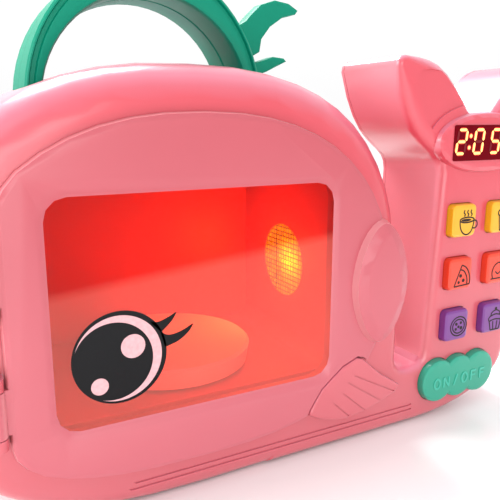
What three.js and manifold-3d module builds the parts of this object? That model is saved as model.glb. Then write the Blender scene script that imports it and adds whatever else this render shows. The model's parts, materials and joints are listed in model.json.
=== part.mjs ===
// A toy microwave oven in the shape of a whale, as an assembly of separate pieces.
// Lengths are millimetres. Drawing frame: x from the middle of the head to the right, y from the
// front face of the casing to the back, z up from the table. The last lines centre the whole toy.
import * as THREE from "three";
import { mergeVertices } from "three/addons/utils/BufferGeometryUtils.js";
import Module from "manifold-3d";

const wasm = await Module();
wasm.setup();

// Clearances that several pieces share
const seat = 0.3; // gap between pieces that sit on each other
const slack = 0.8; // gap round a piece that moves through a hole
const overrun = 5; // how far a cut runs past the face that it leaves by
const bury = 1; // how deep joined shapes run into each other
const weld = 0.0001; // vertices closer than this are one

// Head of the casing
const wall = 2.5;
const underside = 1.2; // flat bottom of the casing over the table
const headHalfWidth = 118;
const headCrown = 108; // dome over the head's widest line
const headKeel = 92; // from the widest line down to where the outline would close
const headMiddle = 92; // height of the widest line
const headDepth = 126;
const rearDepth = 63; // depth of the rear casing
const headTopRound = 17;
const headSideRound = 12;
const headKeelRound = 7;
const headTopPower = 2.5;
const headChinPower = 2.8;
const headHeelPower = 3.4;

// Tail of the casing, with the base band under it
const tailAway = 55.5; // from the head's side to the tail's middle
const tailDepth = 48.5;
const coverThickness = 2.2;
const tailFootHalf = 34.5;
const tailFootHeight = 43;
const tailWaistHalf = 30.5;
const tailWaistDrop = 17.2; // from the display's middle down to the waist
const flukeReach = 65; // from the tail's middle to a fluke's tip
const flukeRise = 62; // from the waist to the flukes' top
const flukeNotchDrop = 31.5; // from the flukes' top to the notch
const flukeNotchHalf = 6;
const flukeTipRound = 6;
const keelRise = 31.8; // height of the curve under the tail
const keelRun = 73; // length of the curve under the tail
const valleyFloor = 35.5;
const valleyGap = 0.5; // from the head's side to the valley
const valleyLeftRound = 8;
const valleyRightRound = 9;
const baseLeft = 35;
const tailRound = 5;
const flukeRound = 7;
const flukeRoundRun = 40; // height over which the small round grows to the large one
const panelInset = 6.5; // sunk panels of the flukes, from the upper edge
const panelSideInset = 13.5; // from the outer edge
const panelDepth = 1.2;
const panelFoot = 166;

// Engraved lines of the base band
const bandLineHeights = [9.7, 12.6];
const bandLineWidth = 1;
const bandLineDepth = 0.7;
const bandLineLeft = -38;
const bandLineReach = 13; // past the head's side
const bandLineSlant = 2.4;

// Oven opening and cavity
const mouthSide = 38; // from the head's side to the mouth
const mouthLow = 38.5;
const mouthHigh = 153.5;
const mouthRound = 12;
const cavityFloor = 44;
const cavityRoof = 158;
const cavityFront = 9;
const cavityRearGap = 14; // from the cavity's back to the rear of the head
const cavityRound = 9;
const linerWall = 1.6;
const linerFlange = 3.5;

// Door
const doorFront = -5;
const doorBack = -0.4;
const doorSide = 13; // from the head's side to the widest line of the door's curve
const doorCrown = 87.2;
const doorBelly = 73;
const doorHingeSide = 30.8; // from the head's side to the straight edge
const doorTopPower = 2.3;
const doorHingePower = 3;
const doorLatchPower = 2.6;
const doorRound = 2.5;
const doorCorner = 4;
const glassSide = 11.2; // from the mouth's side to the window
const glassLow = 46;
const glassHigh = 146;
const glassCorner = 9.5;
const rimWidth = 3.6;
const paneFront = -2.4;
const paneThickness = 1.7;
const paneOverlap = 2.8;
const plugGap = 1.4;
const plugBack = 7;

// Pull tab of the door
const tabSide = 20; // from the head's side to the tab's middle
const tabZ = 92;
const tabHalfWidth = 18.4;
const tabHalfHeight = 34;
const tabBulge = 10.5;
const tabRound = 7;
const tabPower = 1.8;

// Side fin and the two pegs that hold it
const finSide = 62.2; // from the head's side to the fin's left end
const finLow = 18;
const finWidth = 61.1;
const finHeight = 33.9;
const finOut = 5;
const finRound = 1.6;
const finGap = 0.9;
const finLineDepth = 0.7;
const finLineWidth = 0.8;
const finPegRadius = 2;
const finPegLength = 4.5;

// Hinge
const hingeSide = 26; // from the head's side to the axis
const hingeY = -4.6;
const barrelRadius = 4;
const pinRadius = 1.5;
const pinHead = 2.6;
const pinHeadHeight = 1.4;
const knuckleLength = 19.3;
const knuckleHeights = [62, 115];
const earLength = 5;

// Door catch
const catchSide = 27; // from the head's side
const catchZ = 92;
const catchHalfWidth = 5;
const catchHalfHeight = 6.5;
const catchPlate = 1.8;
const tongueHalfHeight = 4;
const tongueThickness = 2.4;
const tongueTip = 11;
const tongueBarb = 1;
const tongueSwing = 0.8; // how far the tongue's arc carries it outwards in its slot
const clipThickness = 1.2;
const clipBack = 12;
const clipHalfWidth = 5.6;
const clipHalfHeight = 8;

// Handle
const archX = -6; // middle of the arch
const archSink = 18; // from the top of the dome down to the arch's centre
const archHalfWidth = 59.5;
const archRise = 66; // from the arch's centre to its top
const archFace = 7.8; // width of the section on the legs
const archCrownFace = 14.5; // width of the section at the top
const archHalfDepth = 20;
const archEdge = 3; // round of the section's inner corners
const archOuterEdge = 1;
const channelMargin = 1.6; // from the outer edge to the channel in each face
const channelWidth = 3;
const channelDepth = 1.6;
const channelSlope = 0.6;
const seamGroove = 0.8; // where the two halves meet on the inside
const legLength = 20;
const legFlange = 2.5;
const legFlangeLift = 8; // from the foot of the leg
const legFlangeThickness = 3;
const shelfThickness = 2;
const leafHalfDepth = 4.5;
const leafRound = 0.9;
const handleScrewTurn = 58; // degrees over the horizontal
const handleScrewGrip = 7;

// Turntable and its drive
const tableX = 3;
const tableGap = 5.5; // from the plate to the cavity's front and back
const tableTaper = 1.5;
const tableLow = 45.5;
const tableHigh = 56;
const tableSkin = 2.5;
const tableEdgeRound = 1.5;
const tableSteps = 48;
const hubRadius = 8;
const spindleRadius = 4.5;
const spindleFlat = 3.2;
const spindleTop = 52;
const gearRadius = 20; // pitch circle
const gearTeeth = 40;
const pinionTeeth = 10;
const pressureAngle = 20; // degrees
const gearBacklash = 0.3;
const gearLow = 30;
const gearHigh = 35;
const gearHub = 6;
const trayLow = 22;
const trayHigh = 24;
const trayHalfWidth = 26;
const trayFrontReach = 40; // from the turntable's axis
const trayBackReach = 26;
const trayPostRadius = 3;
const trayPostPlace = 20;
const journalRadius = 2.5;
const motorRadius = 10.2;
const motorFlat = 7.6;
const motorLow = 6;
const motorNose = 3;
const shaftRadius = 1;

// Lamp in the right wall of the cavity
const lampBehind = 3.5; // behind the middle of the cavity
const lampZ = 92;
const lensRadius = 21.7;
const lensFlange = 3;
const lensFlangeThickness = 1.4;
const lensGrooves = 5;
const lensGrooveWidth = 0.7;
const lensGrooveDepth = 0.5;
const reflectorDepth = 15;
const reflectorNeck = 5;
const reflectorWall = 1.4;
const ledRadius = 2.5;
const ledLength = 7;

// Display
const bezelAway = 0.7; // from the tail's middle
const bezelRise = 43.3; // from the top row of buttons to the display's middle
const bezelHalfWidth = 37.3;
const bezelHalfHeight = 16.8;
const bezelOut = 3.2;
const bezelRound = 3;
const bezelPower = 2.1;
const displayHalfWidth = 21;
const displayHalfHeight = 9.6;
const displayCorner = 1.5;
const displayFront = -0.4;
const displayHalfFlange = 8; // half height of the flange at the sides
const displayFlange = 1.2;
const moduleHalfWidth = 24.5;
const moduleHalfHeight = 8.4;

// Push buttons
const buttonAway = 0.7; // from the tail's middle
const buttonRise = 33.1; // from the start button's middle to the lowest row
const buttonPitch = 31;
const buttonSize = 18.8;
const buttonCorner = 3;
const buttonOut = 4.2;
const buttonRound = 1.6;
const buttonFlange = 1.6;
const buttonFlangeThickness = 1.4;
const buttonTravel = 1.5;
const buttonRows = 3;
const buttonColumns = 2;
const buttonHole = 0.4; // gap round a button in its hole

// Start and stop button
const startAway = -9; // from the tail's middle
const startZ = 24.8;
const startLobe = 13.1;
const startPitch = 16.3;
const startRound = 2;
const startFlangeLow = 24;
const startFlangeHigh = 31;

// Key mat, board and its posts behind the buttons
const domeRadius = 5;
const domeTop = 3.5; // radius of the dome's flat top
const domeHeight = 1.2;
const matThickness = 1;
const matHalfWidth = 24;
const matMargin = 11; // over the top row's middle and under the lowest row's
const matStripHalf = 6;
const matStripLow = 17;
const boardThickness = 1.6;
const boardHalfWidth = 25;
const boardLow = 36;
const boardOver = 9.3; // over the display's middle
const boardPostRadius = 3;
const boardPostRise = 18.2; // from the start button's middle and from the top row's
const boardPostX = 20;

// Loudspeaker behind the rear wall
const speakerX = -55;
const speakerZ = 27;
const speakerRadius = 14;
const speakerMagnet = 8;
const speakerDepth = 9;
const speakerRim = 2;
const speakerHoleRadius = 1.3;
const speakerHolePitch = 4.6;
const speakerRings = [6, 12]; // number of holes in each ring
const speakerRing = 1.4;

// Batteries and their compartment
const cellRadius = 7.1;
const cellLength = 50;
const cellNub = 2.7;
const cellNubLength = 1.2;
const cellPitch = 15;
const cellCount = 3;
const cellZ = 11.4;
const boxX = 5.5;
const boxBehind = 33; // from the rear of the head to the compartment's middle
const boxWall = 1.6;
const boxEndRoom = 2.9;
const boxRoof = 19.2;
const boxFrame = 3.8; // casing floor round the compartment
const batteryDoorHalfWidth = 24.6;
const batteryDoorHalfLength = 27.4;
const batteryDoorThickness = 2.2;
const batteryDoorLip = 2;
const batteryScrewX = 5; // outside the battery door's left edge
const batteryScrewY = -12;
const batteryTab = 4.6;
const batteryScrewHead = 1;
const contactThickness = 0.5;
const contactHalfHeight = 5.5;
const contactTip = 1.6;

// Screws and their bosses
const screwRadius = 1.4;
const screwHead = 3.2;
const screwHeadHeight = 1.8;
const screwSlot = 0.8;
const screwSlotDepth = 0.9;
const screwSlotShare = 0.6; // reach of the cross, of the head's radius
const screwGrip = 12;
const bossRadius = 4.2;
const wellRadius = 4;
const wellWall = 1.6;
const wellFloor = 3;
const coverBossRadius = 3.8;
const coverScrewGrip = 10;

// Feet
const footRadius = 6;
const footPocket = 0.9;
const footGap = 2; // beside the battery door and its screw
const footFrontInset = 14.5;
const footRearInset = 21;

// Numbers of steps on curves
const headSteps = 12;
const doorSteps = 12;
const roundSteps = 4;
const edgeSteps = 2;
const circleSteps = 24;
const smallSteps = 12;
const tinySteps = 8;
const lensSteps = 36;
const archSteps = 30;

// Places that follow from the sizes
const tailX = headHalfWidth + tailAway;
const valleyLeft = headHalfWidth + valleyGap;
const bandLineRight = headHalfWidth + bandLineReach;
const mouthHalfWidth = headHalfWidth - mouthSide;
const doorHalfWidth = headHalfWidth - doorSide;
const doorHingeEdge = doorHingeSide - headHalfWidth;
const glassHalfWidth = mouthHalfWidth - glassSide;
const tabX = headHalfWidth - tabSide;
const finLeft = headHalfWidth - finSide;
const hingeX = hingeSide - headHalfWidth;
const catchX = headHalfWidth - catchSide;
const buttonLowZ = startZ + buttonRise;
const buttonTopZ = buttonLowZ + buttonPitch * (buttonRows - 1);
const bezelZ = buttonTopZ + bezelRise;
const tailWaistHeight = bezelZ - tailWaistDrop;
const matLow = buttonLowZ - matMargin;
const matHigh = buttonTopZ + matMargin;
const boardHigh = bezelZ + boardOver;
const boardPostHeights = [startZ + boardPostRise, buttonTopZ + boardPostRise];
const flukeTop = tailWaistHeight + flukeRise;
const flukeNotch = flukeTop - flukeNotchDrop;
const bezelX = tailX + bezelAway;
const buttonX = tailX + buttonAway;
const startX = tailX + startAway;
const headSplit = headDepth - rearDepth; // where the front and the rear casing meet
const cavityBack = headDepth - cavityRearGap;
const archZ = headMiddle + headCrown - archSink; // height of the arch's centre
const tableY = (cavityFront + cavityBack) / 2;
const tableRadius = (cavityBack - cavityFront) / 2 - tableGap;
const lampY = tableY + lampBehind;
const boxY = headDepth - boxBehind;

const pink = new THREE.MeshStandardMaterial({ color: 0xf27a85, roughness: 0.35 });
const doorPink = new THREE.MeshStandardMaterial({ color: 0xee7f8c, roughness: 0.35 });
const green = new THREE.MeshStandardMaterial({ color: 0x14a884, roughness: 0.35 });
const buttonGreen = new THREE.MeshStandardMaterial({ color: 0x2fb89a, roughness: 0.4 });
const yellow = new THREE.MeshStandardMaterial({ color: 0xf5ba1c, roughness: 0.4 });
const orange = new THREE.MeshStandardMaterial({ color: 0xf0603c, roughness: 0.4 });
const purple = new THREE.MeshStandardMaterial({ color: 0x9646a5, roughness: 0.4 });
const redGlass = new THREE.MeshStandardMaterial({ color: 0xe01008, transparent: true, opacity: 0.5 });
const blush = new THREE.MeshStandardMaterial({ color: 0xf3b9b4, roughness: 0.5 });
const white = new THREE.MeshStandardMaterial({ color: 0xf2ece8, roughness: 0.5 });
const amber = new THREE.MeshStandardMaterial({ color: 0xf6a80a, transparent: true, opacity: 0.8 });
const steel = new THREE.MeshStandardMaterial({ color: 0xc4c6c8, roughness: 0.3, metalness: 1 });
const boardGreen = new THREE.MeshStandardMaterial({ color: 0x2c6b3f, roughness: 0.6 });
const black = new THREE.MeshStandardMaterial({ color: 0x17171a, roughness: 0.6 });
const rubber = new THREE.MeshStandardMaterial({ color: 0x4a4a4c, roughness: 0.9 });

// A closed geometry as a solid that can be joined and cut, whichever way its faces wind.
function solid(geometry) {
  const source = geometry.index ? geometry.toNonIndexed() : geometry;
  const bare = new THREE.BufferGeometry();
  bare.setAttribute("position", source.getAttribute("position"));
  const merged = mergeVertices(bare, weld);
  const corners = new Uint32Array(merged.index.array);
  const made = fromTriangles(merged.attributes.position.array, corners);
  return made.volume() < 0 ? fromTriangles(merged.attributes.position.array, corners.toReversed()) : made;
}

// A solid from vertex coordinates and triangles.
function fromTriangles(places, corners) {
  const mesh = new wasm.Mesh({ numProp: 3, vertProperties: new Float32Array(places), triVerts: corners });
  return new wasm.Manifold(mesh);
}

// A solid as a named mesh of the toy.
function piece(name, body, material) {
  const made = body.getMesh();
  const geometry = new THREE.BufferGeometry();
  geometry.setAttribute("position", new THREE.BufferAttribute(new Float32Array(made.vertProperties), 3));
  geometry.setIndex(new THREE.BufferAttribute(new Uint32Array(made.triVerts), 1));
  geometry.computeVertexNormals();
  const mesh = new THREE.Mesh(geometry, material);
  mesh.name = name;
  return mesh;
}

// All solids of a list as one.
function join(bodies) {
  return bodies.reduce((all, body) => all.add(body));
}

// A box between two corners.
function box(x0, x1, y0, y1, z0, z1) {
  const geometry = new THREE.BoxGeometry(x1 - x0, y1 - y0, z1 - z0);
  geometry.translate((x0 + x1) / 2, (y0 + y1) / 2, (z0 + z1) / 2);
  return solid(geometry);
}

// An upright cylinder or cone.
function post(x, y, z0, z1, radius, topRadius = radius, steps = circleSteps) {
  const geometry = new THREE.CylinderGeometry(topRadius, radius, z1 - z0, steps);
  geometry.rotateX(Math.PI / 2);
  geometry.translate(x, y, (z0 + z1) / 2);
  return solid(geometry);
}

// A cylinder or cone that runs from front to back.
function rod(x, z, y0, y1, radius, backRadius = radius, steps = circleSteps) {
  const geometry = new THREE.CylinderGeometry(backRadius, radius, y1 - y0, steps);
  geometry.translate(x, (y0 + y1) / 2, z);
  return solid(geometry);
}

// A cylinder or cone that runs from left to right.
function bar(x0, x1, y, z, radius, rightRadius = radius, steps = circleSteps) {
  const geometry = new THREE.CylinderGeometry(rightRadius, radius, x1 - x0, steps);
  geometry.rotateZ(-Math.PI / 2);
  geometry.translate((x0 + x1) / 2, y, z);
  return solid(geometry);
}

// A point of a front view.
function at(x, z) {
  return new THREE.Vector2(x, z);
}

// A solid through a row of closed rings of equally many points, flat at both ends.
// The ends are filled by the outline that flatten makes of a ring.
function loft(rings, flatten) {
  const count = rings[0].length;
  const last = (rings.length - 1) * count;
  const index = [];
  for (let start = 0; start < last; start += count) {
    for (let i = 0; i < count; i++) {
      const next = (i + 1) % count;
      index.push(start + i, start + i + count, start + next + count);
      index.push(start + i, start + next + count, start + next);
    }
  }
  for (const [a, b, c] of THREE.ShapeUtils.triangulateShape(rings[0].map(flatten), [])) {
    index.push(a, b, c);
  }
  for (const [a, b, c] of THREE.ShapeUtils.triangulateShape(rings[rings.length - 1].map(flatten), [])) {
    index.push(last + c, last + b, last + a);
  }
  const geometry = new THREE.BufferGeometry();
  const places = rings.flat().flatMap((point) => [point.x, point.y, point.z]);
  geometry.setAttribute("position", new THREE.Float32BufferAttribute(places, 3));
  geometry.setIndex(index);
  return solid(geometry);
}

// A solid through rings that are drawn in front view.
function frontLoft(rings) {
  return loft(rings, (point) => at(point.x, point.z));
}

// A straight solid over an outline in plan view.
function plan(outline, z0, z1) {
  const turnedOutline = THREE.ShapeUtils.isClockWise(outline) ? outline.toReversed() : outline;
  const level = (z) => turnedOutline.map((point) => new THREE.Vector3(point.x, point.y, z));
  return loft([level(z1), level(z0)], (point) => at(point.x, point.y));
}

// How each point of a counter-clockwise outline moves when the outline shrinks by one unit.
function inward(outline) {
  return outline.map((point, i) => {
    const before = outline[(i + outline.length - 1) % outline.length];
    const after = outline[(i + 1) % outline.length];
    const came = point.clone().sub(before).normalize();
    const goes = after.clone().sub(point).normalize();
    const shift = at(-came.y - goes.y, came.x + goes.x);
    return shift.divideScalar(1 + came.dot(goes));
  });
}

// An outline drawn in by a margin, or out by a negative one.
function shrunk(outline, margin) {
  const shifts = inward(outline);
  return outline.map((point, i) => point.clone().addScaledVector(shifts[i], margin));
}

// A slab drawn in front view. Its front and rear edges are rounded by radii that depend on the
// place, and an inset makes the hollow that leaves a wall of that thickness.
function slab(outline, front, back, frontRound = 0, backRound = 0, inset = 0) {
  const shifts = inward(outline);
  const rings = [];
  const radiusAt = (round, point) => {
    const radius = typeof round === "function" ? round(point) : round;
    return Math.max(radius - inset, 0);
  };
  const ring = (round, share, side) =>
    outline.map((point, i) => {
      const radius = radiusAt(round, point);
      const step = inset + radius * (1 - Math.sin((share * Math.PI) / 2));
      const depth = inset + radius * (1 - Math.cos((share * Math.PI) / 2));
      const y = side < 0 ? front + depth : back - depth;
      return new THREE.Vector3(point.x + shifts[i].x * step, y, point.y + shifts[i].y * step);
    });
  const shares = (round) => {
    const steps = typeof round === "function" ? roundSteps : edgeSteps;
    return round === 0 ? [1] : Array.from({ length: steps + 1 }, (_, k) => k / steps);
  };
  shares(frontRound).forEach((share) => rings.push(ring(frontRound, share, -1)));
  shares(backRound)
    .reverse()
    .forEach((share) => rings.push(ring(backRound, share, 1)));
  return frontLoft(rings);
}

// A quarter of a superellipse, counter-clockwise, without its last point. Turn 0 starts at the right.
function quarter(x, z, halfWidth, halfHeight, power, turn, steps) {
  const points = [];
  for (let i = 0; i < steps; i++) {
    const angle = ((turn + i / steps) * Math.PI) / 2;
    const reach = (value) => Math.sign(value) * Math.abs(value) ** (2 / power);
    points.push(at(x + halfWidth * reach(Math.cos(angle)), z + halfHeight * reach(Math.sin(angle))));
  }
  return points;
}

// A whole superellipse.
function oval(x, z, halfWidth, halfHeight, power = 2, steps = smallSteps / 2) {
  return [0, 1, 2, 3].flatMap((turn) => quarter(x, z, halfWidth, halfHeight, power, turn, steps));
}

// A rectangle with round corners.
function roundedRectangle(x0, x1, z0, z1, radius, steps = roundSteps) {
  const corner = (x, z, turn) => {
    const angle = ((turn + 1) * Math.PI) / 2;
    const end = at(x + radius * Math.cos(angle), z + radius * Math.sin(angle));
    return [...quarter(x, z, radius, radius, 2, turn, steps), end];
  };
  return [
    ...corner(x1 - radius, z1 - radius, 0),
    ...corner(x0 + radius, z1 - radius, 1),
    ...corner(x0 + radius, z0 + radius, 2),
    ...corner(x1 - radius, z0 + radius, 3),
  ];
}

// A curve through control points, without its last point.
function bend(steps, ...controls) {
  const Curve = controls.length > 3 ? THREE.CubicBezierCurve : THREE.QuadraticBezierCurve;
  return new Curve(...controls).getPoints(steps).slice(0, -1);
}

// The head's outline in front view.
function headOutline() {
  return [
    ...quarter(0, headMiddle, headHalfWidth, headCrown, headTopPower, 0, headSteps),
    ...quarter(0, headMiddle, headHalfWidth, headCrown, headTopPower, 1, headSteps),
    ...quarter(0, headMiddle, headHalfWidth, headKeel, headChinPower, 2, headSteps),
    ...quarter(0, headMiddle, headHalfWidth, headKeel, headHeelPower, 3, headSteps),
  ];
}

// The head's edge round, large over the dome and small along the bottom.
function headRound(point) {
  const up = (point.y - headMiddle) / headCrown;
  const end = up > 0 ? headTopRound : headKeelRound;
  return headSideRound + (end - headSideRound) * Math.min(Math.abs(up), 1);
}

// The head, or with an inset its hollow, or with a negative inset the room that it needs.
function head(inset = 0) {
  const whole = slab(headOutline(), 0, headDepth, headRound, headRound, inset);
  const reach = headHalfWidth + overrun;
  return whole.subtract(box(-reach, reach, -overrun, headDepth + overrun, -overrun, underside + inset));
}

// Half of the flukes' outline from the waist over the tip to the notch, drawn in by a margin at its
// top and by another at its side.
function flukeHalf(margin = 0, side = 0) {
  const waist = tailWaistHalf - side;
  const reach = flukeReach - side;
  const top = flukeTop - margin;
  const notch = flukeNotch - margin;
  const rise = top - tailWaistHeight;
  const run = reach - waist;
  const outerSteps = 9;
  const tipSteps = 3;
  const upperSteps = 7;
  const flareShare = 0.29;
  const steepShare = 0.65;
  const steepRiseShare = 0.13;
  const upperShare = 0.487;
  const dipShare = 0.471;
  const dipRiseShare = 0.906;
  const dip = notch + (top - notch) * dipRiseShare;
  return [
    ...bend(
      outerSteps,
      at(waist, tailWaistHeight),
      at(waist, tailWaistHeight + rise * flareShare),
      at(waist + run * steepShare, tailWaistHeight + rise * steepRiseShare),
      at(reach, top - flukeTipRound),
    ),
    ...bend(tipSteps, at(reach, top - flukeTipRound), at(reach, top), at(reach - flukeTipRound, top)),
    ...bend(
      upperSteps,
      at(reach - flukeTipRound, top),
      at(reach * upperShare, top),
      at(reach * dipShare, dip),
      at(flukeNotchHalf, notch),
    ),
    at(flukeNotchHalf, notch),
  ];
}

// Both flukes from the right end of the waist to the left end.
function flukes(margin = 0, side = 0) {
  const half = flukeHalf(margin, side);
  const right = half.map((point) => at(tailX + point.x, point.y));
  const left = half.map((point) => at(tailX - point.x, point.y)).reverse();
  return [...right, ...left];
}

// The outline of base band, tail column and flukes in front view.
function tailOutline() {
  const footRight = tailX + tailFootHalf;
  const footLeft = tailX - tailFootHalf;
  const keelSteps = 9;
  const filletSteps = 3;
  const keelShare = 0.45; // share of a quarter arc left of its control points
  return [
    at(baseLeft, underside),
    ...bend(
      keelSteps,
      at(footRight - keelRun, underside),
      at(footRight - keelRun * keelShare, underside),
      at(footRight, underside + keelRise * keelShare),
      at(footRight, underside + keelRise),
    ),
    at(footRight, underside + keelRise),
    at(footRight, tailFootHeight),
    ...flukes(),
    ...bend(
      filletSteps,
      at(footLeft, valleyFloor + valleyRightRound),
      at(footLeft, valleyFloor),
      at(footLeft - valleyRightRound, valleyFloor),
    ),
    at(footLeft - valleyRightRound, valleyFloor),
    ...bend(
      filletSteps,
      at(valleyLeft + valleyLeftRound, valleyFloor),
      at(valleyLeft, valleyFloor),
      at(valleyLeft, valleyFloor + valleyLeftRound),
    ),
    at(valleyLeft, valleyFloor + valleyLeftRound),
    at(valleyLeft - bury, headMiddle),
    at(valleyLeft - headSideRound * 2, headMiddle),
    at(baseLeft, headMiddle / 3),
  ];
}

// The tail's edge round: small on the column, large on the flukes, small again at their tips.
function tailRounding(point) {
  const rise = (point.y - tailWaistHeight + flukeRoundRun / 2) / flukeRoundRun;
  const radius = tailRound + (flukeRound - tailRound) * THREE.MathUtils.clamp(rise, 0, 1);
  const away = Math.hypot(Math.abs(point.x - tailX) - flukeReach, point.y - flukeTop);
  const leastShare = 0.42;
  return radius * THREE.MathUtils.clamp(away / (flukeRoundRun / 2), leastShare, 1);
}

// Base band, column and flukes.
function tail() {
  return slab(tailOutline(), 0, tailDepth, tailRounding);
}

// The hollow of the tail, open at the back.
function tailHollow() {
  return slab(tailOutline(), 0, tailDepth + overrun + wall, tailRounding, 0, wall);
}

// A box over everything between two depths.
function layer(y0, y1) {
  const reach = tailX + flukeReach * 2;
  return box(-reach, reach, y0, y1, -overrun, archZ + archRise + overrun);
}

// Where the casing screws sit.
function casingScrewPlaces() {
  const sideShare = 0.81;
  const highShare = 0.43;
  const lowShare = 0.38;
  const crownSideShare = 0.2;
  const crownShare = 0.78;
  return [-1, 1].flatMap((hand) => [
    [hand * headHalfWidth * sideShare, headMiddle + headCrown * highShare],
    [hand * headHalfWidth * sideShare, headMiddle - headKeel * lowShare],
    [hand * headHalfWidth * crownSideShare, headMiddle + headCrown * crownShare],
  ]);
}

// Where the screws of the tail's cover sit.
function coverScrewPlaces() {
  const reachShare = 0.68;
  const dropShare = 0.29;
  const valleyShare = 0.56;
  const height = flukeTop - flukeReach * dropShare;
  return [
    [tailX - flukeReach * reachShare, height],
    [tailX + flukeReach * reachShare, height],
    [valleyLeft + valleyLeftRound, valleyFloor * valleyShare],
  ];
}

// Where the feet sit.
function footPlaces() {
  const backRow = headDepth - footRearInset;
  const left = batteryScrewPlace()[0] - batteryTab - footGap - footRadius;
  const right = boxX + batteryDoorHalfWidth + batteryDoorLip + footGap + footRadius;
  return [
    ["foot_front_left", left, footFrontInset],
    ["foot_front_right", valleyLeft, footFrontInset],
    ["foot_back_left", left, backRow],
    ["foot_back_right", right, backRow],
  ];
}

// Pockets under the casing for the feet, of which keep picks those of one half.
function footPockets(keep) {
  const top = underside + footPocket;
  return footPlaces()
    .filter(([, , y]) => keep(y))
    .map(([, x, y]) => post(x, y, -overrun, top, footRadius + seat));
}

// An engraved line along the base band, with a slanted left end.
function bandLine(z, left) {
  const low = z - bandLineWidth / 2;
  const high = z + bandLineWidth / 2;
  const ring = (y) => [
    new THREE.Vector3(left, y, low),
    new THREE.Vector3(bandLineRight, y, low),
    new THREE.Vector3(bandLineRight, y, high),
    new THREE.Vector3(left - bandLineWidth, y, high),
  ];
  return frontLoft([ring(-overrun), ring(bandLineDepth)]);
}

// The raised oval round the display.
function displayBezel() {
  const outline = oval(bezelX, bezelZ, bezelHalfWidth, bezelHalfHeight, bezelPower, smallSteps);
  return slab(outline, -bezelOut, wall, bezelRound);
}

// The display's outline, drawn in by a gap.
function displayOutline(gap = 0) {
  const width = displayHalfWidth - gap;
  const height = displayHalfHeight - gap;
  const low = bezelZ - height;
  return roundedRectangle(bezelX - width, bezelX + width, low, low + height * 2, displayCorner, 2);
}

// The sunk panels on the flukes' front faces.
function flukePanels() {
  const sunk = slab(flukes(panelInset, panelSideInset), -overrun, panelDepth);
  const above = box(tailX - flukeReach, tailX + flukeReach, -overrun * 2, overrun, panelFoot, flukeTop);
  const margin = tailRound;
  const halfWidth = bezelHalfWidth + margin;
  const halfHeight = bezelHalfHeight + margin;
  const keep = oval(bezelX, bezelZ, halfWidth, halfHeight, bezelPower, smallSteps);
  return sunk.intersect(above).subtract(slab(keep, -overrun * 2, overrun));
}

// The middle of a push button.
function buttonPlace(row, column) {
  return [buttonX + (column - (buttonColumns - 1) / 2) * buttonPitch, buttonTopZ - row * buttonPitch];
}

// The square outline of a push button, grown by a margin.
function buttonOutline(row, column, grow = 0) {
  const [x, z] = buttonPlace(row, column);
  const half = buttonSize / 2 + grow;
  return roundedRectangle(x - half, x + half, z - half, z + half, buttonCorner + grow / 2, 3);
}

// The row and column of every push button.
function buttonNumbers() {
  const numbers = [];
  for (let row = 0; row < buttonRows; row++) {
    for (let column = 0; column < buttonColumns; column++) {
      numbers.push([row, column]);
    }
  }
  return numbers;
}

// A prism over the three joined discs of the start and stop button.
function startPrism(front, back, grow = 0, round = 0) {
  const radius = startLobe + grow;
  const lobe = (x) => slab(oval(x, startZ, radius, radius), front, back, round);
  return join([-1, 0, 1].map((step) => lobe(startX + step * startPitch)));
}

// Points on the inner and the outer edge of the handle, side by side, from the foot of the right leg
// over the top to the foot of the left leg.
function handleEdges(foot, grow = 0) {
  const inner = at(archHalfWidth - archFace - grow, archRise - archCrownFace - grow);
  const outer = at(archHalfWidth + grow, archRise + grow);
  const edges = [];
  const pair = (across, up) => {
    const place = (reach) => at(archX + reach.x * across, archZ + reach.y * up);
    return [place(inner), place(outer)];
  };
  const below = (hand) => pair(hand, 0).map((point) => at(point.x, foot));
  edges.push(below(1));
  for (let i = 0; i <= archSteps; i++) {
    const turn = (i / archSteps) * Math.PI;
    edges.push(pair(Math.cos(turn), Math.sin(turn)));
  }
  edges.push(below(-1));
  return edges;
}

// A closed section drawn along the handle. A corner of the section is its distance from the inner or
// the outer edge and its depth from the middle.
function alongHandle(section, edges) {
  const rings = edges.map(([inner, outer]) => {
    const across = outer.clone().sub(inner).normalize();
    return section.map(([edge, distance, depth]) => {
      const start = edge === "outer" ? outer : inner;
      const step = edge === "outer" ? -distance : distance;
      return new THREE.Vector3(start.x + across.x * step, headSplit + depth, start.y + across.y * step);
    });
  });
  return loft(rings, (point) => at(-Math.abs(point.x - archX), point.y));
}

// The room that the handle needs in the casing, grown by a gap, or a leg of it grown into a flange.
function handleRoom(foot, grow) {
  const deep = archHalfDepth + grow;
  const section = [
    ["outer", 0, deep],
    ["outer", 0, -deep],
    ["inner", 0, -deep],
    ["inner", 0, deep],
  ];
  return alongHandle(section, handleEdges(foot, grow));
}

// The height of the feet of the handle's legs.
function legFoot() {
  return archZ - legLength;
}

// A shelf inside the front casing under each leg of the handle.
function handleShelves() {
  const top = legFoot() - seat;
  const inner = archHalfWidth - archFace - bury;
  const outer = archHalfWidth + bury;
  return [-1, 1].map((hand) => {
    const x0 = archX + Math.min(hand * inner, hand * outer);
    const x1 = archX + Math.max(hand * inner, hand * outer);
    return box(x0, x1, wall - bury, headSplit, top - shelfThickness, top);
  });
}

// The fixed ears of both hinges, with their pin holes.
function hingeEars() {
  const reach = knuckleLength / 2 + slack / 2;
  return knuckleHeights.flatMap((z) =>
    [-1, 1].map((end) => {
      const near = z + end * reach;
      const far = near + end * earLength;
      const low = Math.min(near, far);
      const high = Math.max(near, far);
      const barrel = post(hingeX, hingeY, low, high, barrelRadius, barrelRadius, smallSteps * 2);
      const web = box(hingeX - barrelRadius, hingeX + barrelRadius, hingeY, wall / 2, low, high);
      const bore = pinRadius + seat;
      return barrel.add(web).subtract(post(hingeX, hingeY, low - bury, high + bury, bore, bore, smallSteps));
    }),
  );
}

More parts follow.
